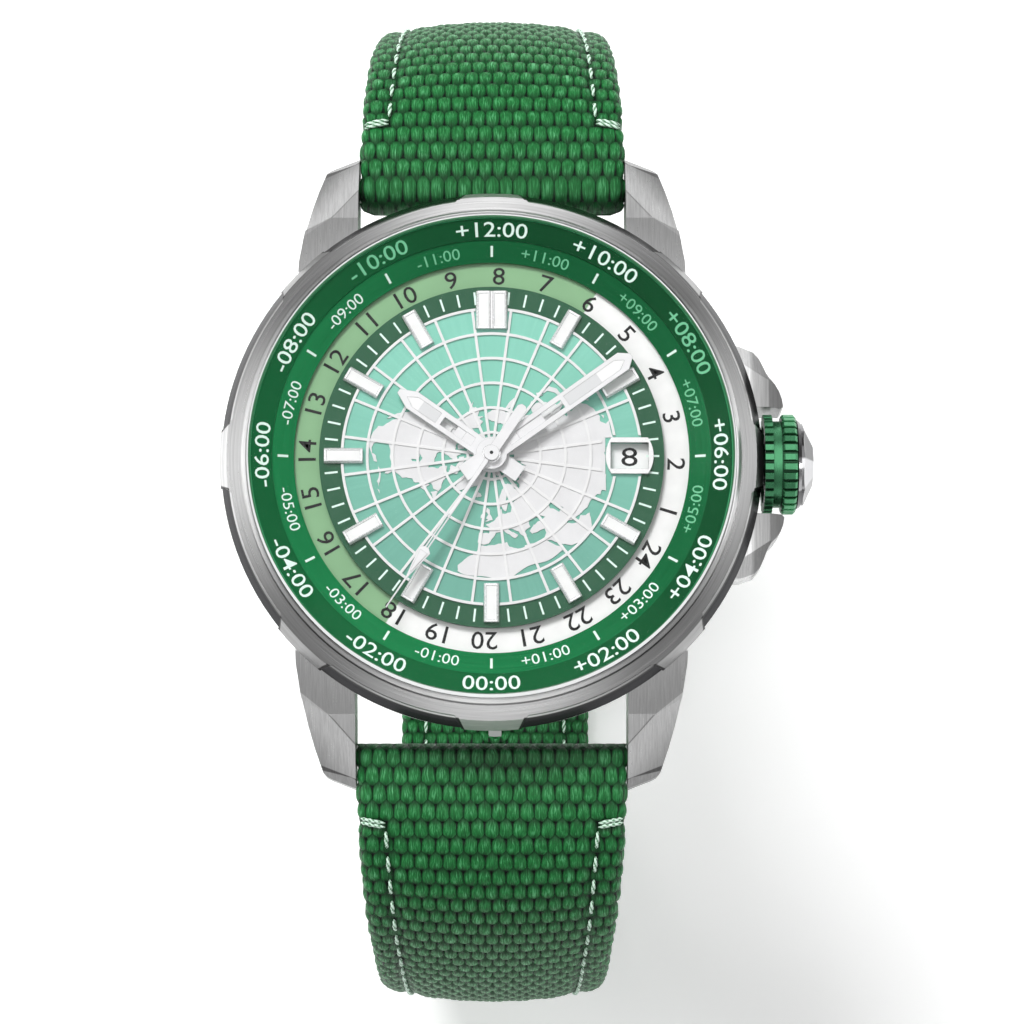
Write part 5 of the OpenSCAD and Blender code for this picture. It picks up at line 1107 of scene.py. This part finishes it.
class WATCH_OT_strap(Operator):
    """Weave the two strap halves with their seams, eyelets and stitching"""

    bl_idname = "watch.strap"
    bl_label = "Woven strap"

    def execute(self, context):
        c, cloth = context.scene.watch_colours, context.scene.watch_cloth
        weave, thread = woven_yarn("strap_weave", c, cloth), twisted_thread(c)
        self.half("12", ("strap_12", "buckle_loops"), SHORT, 1, weave, thread, cloth)
        self.half("6", ("strap_6",), LONG, -1, weave, thread, cloth)
        return {"FINISHED"}

    def half(self, clock, nodes, path, side, weave, thread, cloth):
        node = nodes[0]
        total = run_of(path)
        tail = side < 0
        end = total if tail else total - SPLIT
        samples = cloth.samples - 0
        step = cloth.pitch / samples
        s = stations(-0.98, 40.0, end, cloth.row / samples, cloth.row / 3)
        thick = np.where(s < 0, EYE * np.sqrt(np.clip(1 - np.minimum(s, 0) ** 2, 0.004, None)), strap_thick(s))
        width = strap_width(s)
        seams = [(hand * (width / 2 - cloth.seam_inset), cloth.seam_start) for hand in (-1, 1)]
        if tail:
            narrow = np.clip((s - total + 8) / 8, 0, 1)
            width = width * np.sqrt(np.maximum(0.06, 1 - narrow ** 2.4))
            thick = thick * np.sqrt(np.maximum(0.2, 1 - np.clip((s - total + 1.2) / 1.2, 0, 1) ** 2))
        parts = [woven_band(path, s, -width / 2, width / 2, thick, side, cloth, seams, step, crown_of(s, cloth))]
        if not tail:
            lobe = stations(end - 0.2, end, total + PAST, 0.33, 0.33)
            thick = 2 * np.sqrt(np.clip((FLAT / 2) ** 2 - np.maximum(0.0, lobe - total) ** 2, 0.01, None))
            near, far = np.full_like(lobe, GAP), strap_width(lobe) / 2
            for a, b in ((-far, -near), (near, far)):
                parts.append(woven_band(path, lobe, a, b, thick, side, cloth, (), step * 1.5))
        points, faces, uv, tint = joined(parts)
        if tail:
            holes = total - HOLE_TIP - HOLE_PITCH * np.arange(HOLES)
            inside = np.min(np.hypot(uv[:, :1], uv[:, 1:] + 0.9 - holes[None]), 1) < HOLE_R
            faces = [f for f in faces if len(f) > 4 or not all(inside[v] for v in f)]
            self.eyelets(path, holes, side, weave)
        woven = piece("woven_strap_" + clock, points, faces, weave, node, True, uv, tint)
        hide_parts(*nodes)
        stop = total - (10.0 if tail else 16.5)
        both = [line for under in (False, True) for line in seam_stitches(path, stop, side, cloth, under)]
        points, faces, tint = joined(both)
        piece("stitching_" + clock, points, faces, thread, node, True, None, tint)

    def eyelets(self, path, holes, side, finish):
        """A rolled sleeve through each hole: a closed profile of a thin wall with two rolled lips, turned round."""
        turn = np.linspace(0, 2 * np.pi, 28, endpoint=False)
        half = FLAT / 2
        a = np.linspace(0.2, math.pi - 0.2, 7)
        lip = np.stack((1.22 - 0.3 * np.cos(a), half + 0.16 * np.sin(a)), 1)
        profile = np.array([(0.92, -half), (0.92, half), *lip, (1.5, half - 0.12), (1.1, half - 0.2),
                            (1.1, -half + 0.2), (1.5, -half + 0.12), *(lip[::-1] * (1, -1))])
        out, up = profile[:, 0, None], profile[:, 1, None]
        parts = []
        for s in holes:
            u, z, _ = centre_line(path, np.array([s]))
            x = out * np.cos(turn)
            points = np.stack((x, side * u[0] + out * np.sin(turn), z[0] + up + 0 * x), -1).reshape(-1, 3)
            parts.append((points, grid_faces(len(profile) + 1, len(turn)) % len(points), points[:, :2],
                          np.full(len(points), 0.8)))
        points, faces, uv, tint = joined(parts)
        piece("eyelets", points, faces, finish, "strap_6", True, uv, tint)


def on_foot(points):
    """From the buckle's own axes (along +Y from its bar) to the row frame."""
    c, s = math.cos(FOOT[2]), math.sin(FOOT[2])
    x, y, z = np.moveaxis(points, -1, 0)
    return np.stack((x, FOOT[0] + y * c - z * s, FOOT[1] + y * s + z * c), -1)


class WATCH_OT_keepers(Operator):
    """Weave the two keepers that hold the tail"""

    bl_idname = "watch.keepers"
    bl_label = "Keepers"

    def execute(self, context):
        c, cloth = context.scene.watch_colours, context.scene.watch_cloth
        finish = woven_yarn("keeper_weave", c, cloth)
        for name, node, body, back in (("woven_keeper_a", "fixed_keeper", "strap_12", 6.8),
                                       ("woven_keeper_b", "free_keeper", "keeper", 14.0)):
            points, faces, uv, tint = self.loop(back, cloth)
            made = piece(name, points, faces, finish, body, True, uv, tint)
            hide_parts(node)
        return {"FINISHED"}

    def loop(self, back, cloth):
        """A flat band bent to a closed rounded rectangle, `back` mm behind the buckle's bar: the loop's own angle
        picks a point and a normal on the rectangle, and a small closed section of 5 x 1.1 mm is carried round it."""
        half_x, low, high, wall, corner = 9.8, -1.87, 4.33, 1.1, 1.0
        middle, half_z = (low + high) / 2, (high - low) / 2
        flat_x, flat_z = half_x - corner, half_z - corner
        track, normal = [], []
        for quarter, (x, z, run, count) in enumerate(((-flat_x, flat_z, flat_x, 60), (flat_x, flat_z, flat_z, 12),
                                                      (flat_x, -flat_z, flat_x, 60), (-flat_x, -flat_z, flat_z, 12))):
            start = math.radians(90 - 90 * quarter)
            nx, nz = round(math.cos(start)), round(math.sin(start))
            go = column(np.linspace(0, 2 * run, count))
            track.append(np.array((x + corner * nx, z + corner * nz)) + go * np.array((nz, -nx)))
            a = start - np.radians(np.linspace(0, 90, 7)[1:-1])
            arc = np.stack((np.cos(a), np.sin(a)), 1)
            track.append(np.array((x + 2 * run * nz, z - 2 * run * nx)) + corner * arc)
            normal += [np.tile((nx, nz), (count, 1)), arc]
        track, normal = np.concatenate(track), np.concatenate(normal).astype(float)
        run = np.concatenate(([0], np.cumsum(np.hypot(*np.diff(track, axis=0).T))))
        y = np.linspace(-2.3, 2.3, 24)
        sec_y = np.concatenate((y, [2.5, 2.5], y[::-1], [-2.5, -2.5]))
        sec_n = np.concatenate((0 * y + wall / 2 - 0.06, [0.2, -0.2], 0 * y - wall / 2, [-0.2, 0.2]))
        outer = np.arange(len(sec_y)) < len(y)
        off = sec_n + outer * 0.14 * (yarn(column(run), sec_y[None], cloth) - 0.7)
        x, z = (track[:, k, None] + normal[:, k, None] * off for k in (0, 1))
        points = on_foot(np.stack((x, sec_y - back + 0 * x, middle + z), -1)).reshape(-1, 3)
        rows, columns = x.shape
        faces = grid_faces(rows + 1, columns) % (rows * columns)
        uv = np.stack((sec_y + 0 * x, column(run) + 0 * x), -1).reshape(-1, 2)
        return points, faces, uv, np.ones(x.size)


# ---------------------------------------------------------------- stage


class WATCH_OT_stage(Operator):
    """Set the camera, the pale floor, the sky and the soft lights"""

    bl_idname = "watch.stage"
    bl_label = "Camera, floor and lights"

    def execute(self, context):
        scene = context.scene
        s, c = scene.watch_stage, scene.watch_colours
        aim = np.array((s.aim_x, s.aim_y, 8.3)) * MM
        back = np.array((0.0, -math.cos(s.elevation), math.sin(s.elevation)))
        camera = bpy.data.objects.new("camera", bpy.data.cameras.new("camera"))
        scene.collection.objects.link(camera)
        camera.location = aim + back * s.distance * MM
        camera.rotation_euler = (math.pi / 2 - s.elevation, 0.0, 0.0)
        camera.data.lens, camera.data.sensor_width = s.lens, 36.0
        camera.data.clip_start, camera.data.clip_end = 0.01, 20.0
        scene.camera = camera
        scene.view_settings.view_transform = "Standard"
        scene.view_settings.look = "None"
        self.floor(scene, s, c)
        self.sky(scene)
        for name, place, size, power, diffuse, glossy in (
                ("key", (-0.2, 0.48, 0.68), (0.3, 0.26), 6.0, True, False),
                ("ceiling", (0.0, 0.22, 0.95), (0.95, 1.2), 4.0, False, True),
                ("left", (-0.7, 0.1, 0.4), (0.2, 0.8), 1.5, True, True),
                ("right", (0.75, -0.1, 0.3), (0.12, 0.8), 1.0, True, True)):
            data = bpy.data.lights.new(name, "AREA")
            data.shape, data.size, data.size_y = "RECTANGLE", *size
            data.energy = power
            lamp = bpy.data.objects.new(name, data)
            lamp.location, lamp.visible_diffuse, lamp.visible_glossy = place, diffuse, glossy
            toward = -np.array(place)
            lamp.rotation_mode = "QUATERNION"
            lamp.rotation_quaternion = Vector(toward).to_track_quat("-Z", "Y")
            scene.collection.objects.link(lamp)
        return {"FINISHED"}

    def floor(self, scene, s, c):
        half = s.blocks * 500.0
        mesh = bpy.data.meshes.new("floor")
        corners = np.array([(-half, -half, s.floor_z), (half, -half, s.floor_z), (half, half, s.floor_z),
                            (-half, half, s.floor_z)]) * MM
        mesh.from_pydata(corners.tolist(), [], [(0, 1, 2, 3)])
        f = Finish("floor_paper").set(Base_Color=c.floor, Roughness=0.8, Emission_Color=c.floor,
                                      Emission_Strength=0.3, Specular_IOR_Level=0.1)
        mesh.materials.append(f.material)
        floor = bpy.data.objects.new("floor", mesh)
        scene.collection.objects.link(floor)

    def sky(self, scene):
        """Plain soft light from all round by height: bright overhead and at the horizon, dim between."""
        scene.world = bpy.data.worlds.new("studio")
        scene.world.use_nodes = True
        tree = scene.world.node_tree
        tree.nodes.clear()
        up = put(tree, "SeparateXYZ", {0: put(tree, "TexCoord").outputs["Generated"]}).outputs[2]
        ramp = put(tree, "ValToRGB", {0: up})
        stops = ramp.color_ramp.elements
        stops[0].position, stops[1].position = 0.18, 1.0
        stops[0].color, stops[1].color = (0.75, 0.75, 0.75, 1), (0.5, 0.5, 0.5, 1)
        for place, level in ((0.36, 0.24), (0.7, 0.28)):
            stops.new(place).color = (level, level, level, 1)
        put(tree, "OutputWorld", {0: put(tree, "Background", {0: ramp.outputs[0], 1: 1.0}).outputs[0]})


class WATCH_PT_panel(Panel):
    """Steps that dress the watch, in order"""

    bl_label = "World-time watch"
    bl_space_type = "VIEW_3D"
    bl_region_type = "UI"
    bl_category = "Watch"

    def draw(self, context):
        for step in STEPS:
            self.layout.operator(step.bl_idname)


SETTINGS = (("watch_colours", WatchColours), ("watch_print", DialPrint), ("watch_cloth", StrapCloth),
            ("watch_stage", StageSetup))
STEPS = (WATCH_OT_stage, WATCH_OT_metals, WATCH_OT_dial, WATCH_OT_hour_ring, WATCH_OT_zone_ring, WATCH_OT_hands,
         WATCH_OT_strap, WATCH_OT_keepers)


def register():
    for kind in (*(group for _, group in SETTINGS), *STEPS, WATCH_PT_panel):
        bpy.utils.register_class(kind)
    for name, group in SETTINGS:
        setattr(bpy.types.Scene, name, PointerProperty(type=group))


def unregister():
    for name, _ in SETTINGS:
        delattr(bpy.types.Scene, name)
    for kind in (WATCH_PT_panel, *STEPS, *(group for _, group in SETTINGS)):
        bpy.utils.unregister_class(kind)


def main():
    register()
    for step in STEPS:
        group, name = step.bl_idname.split(".")
        getattr(getattr(bpy.ops, group), name)()


if __name__ == "__main__":
    main()
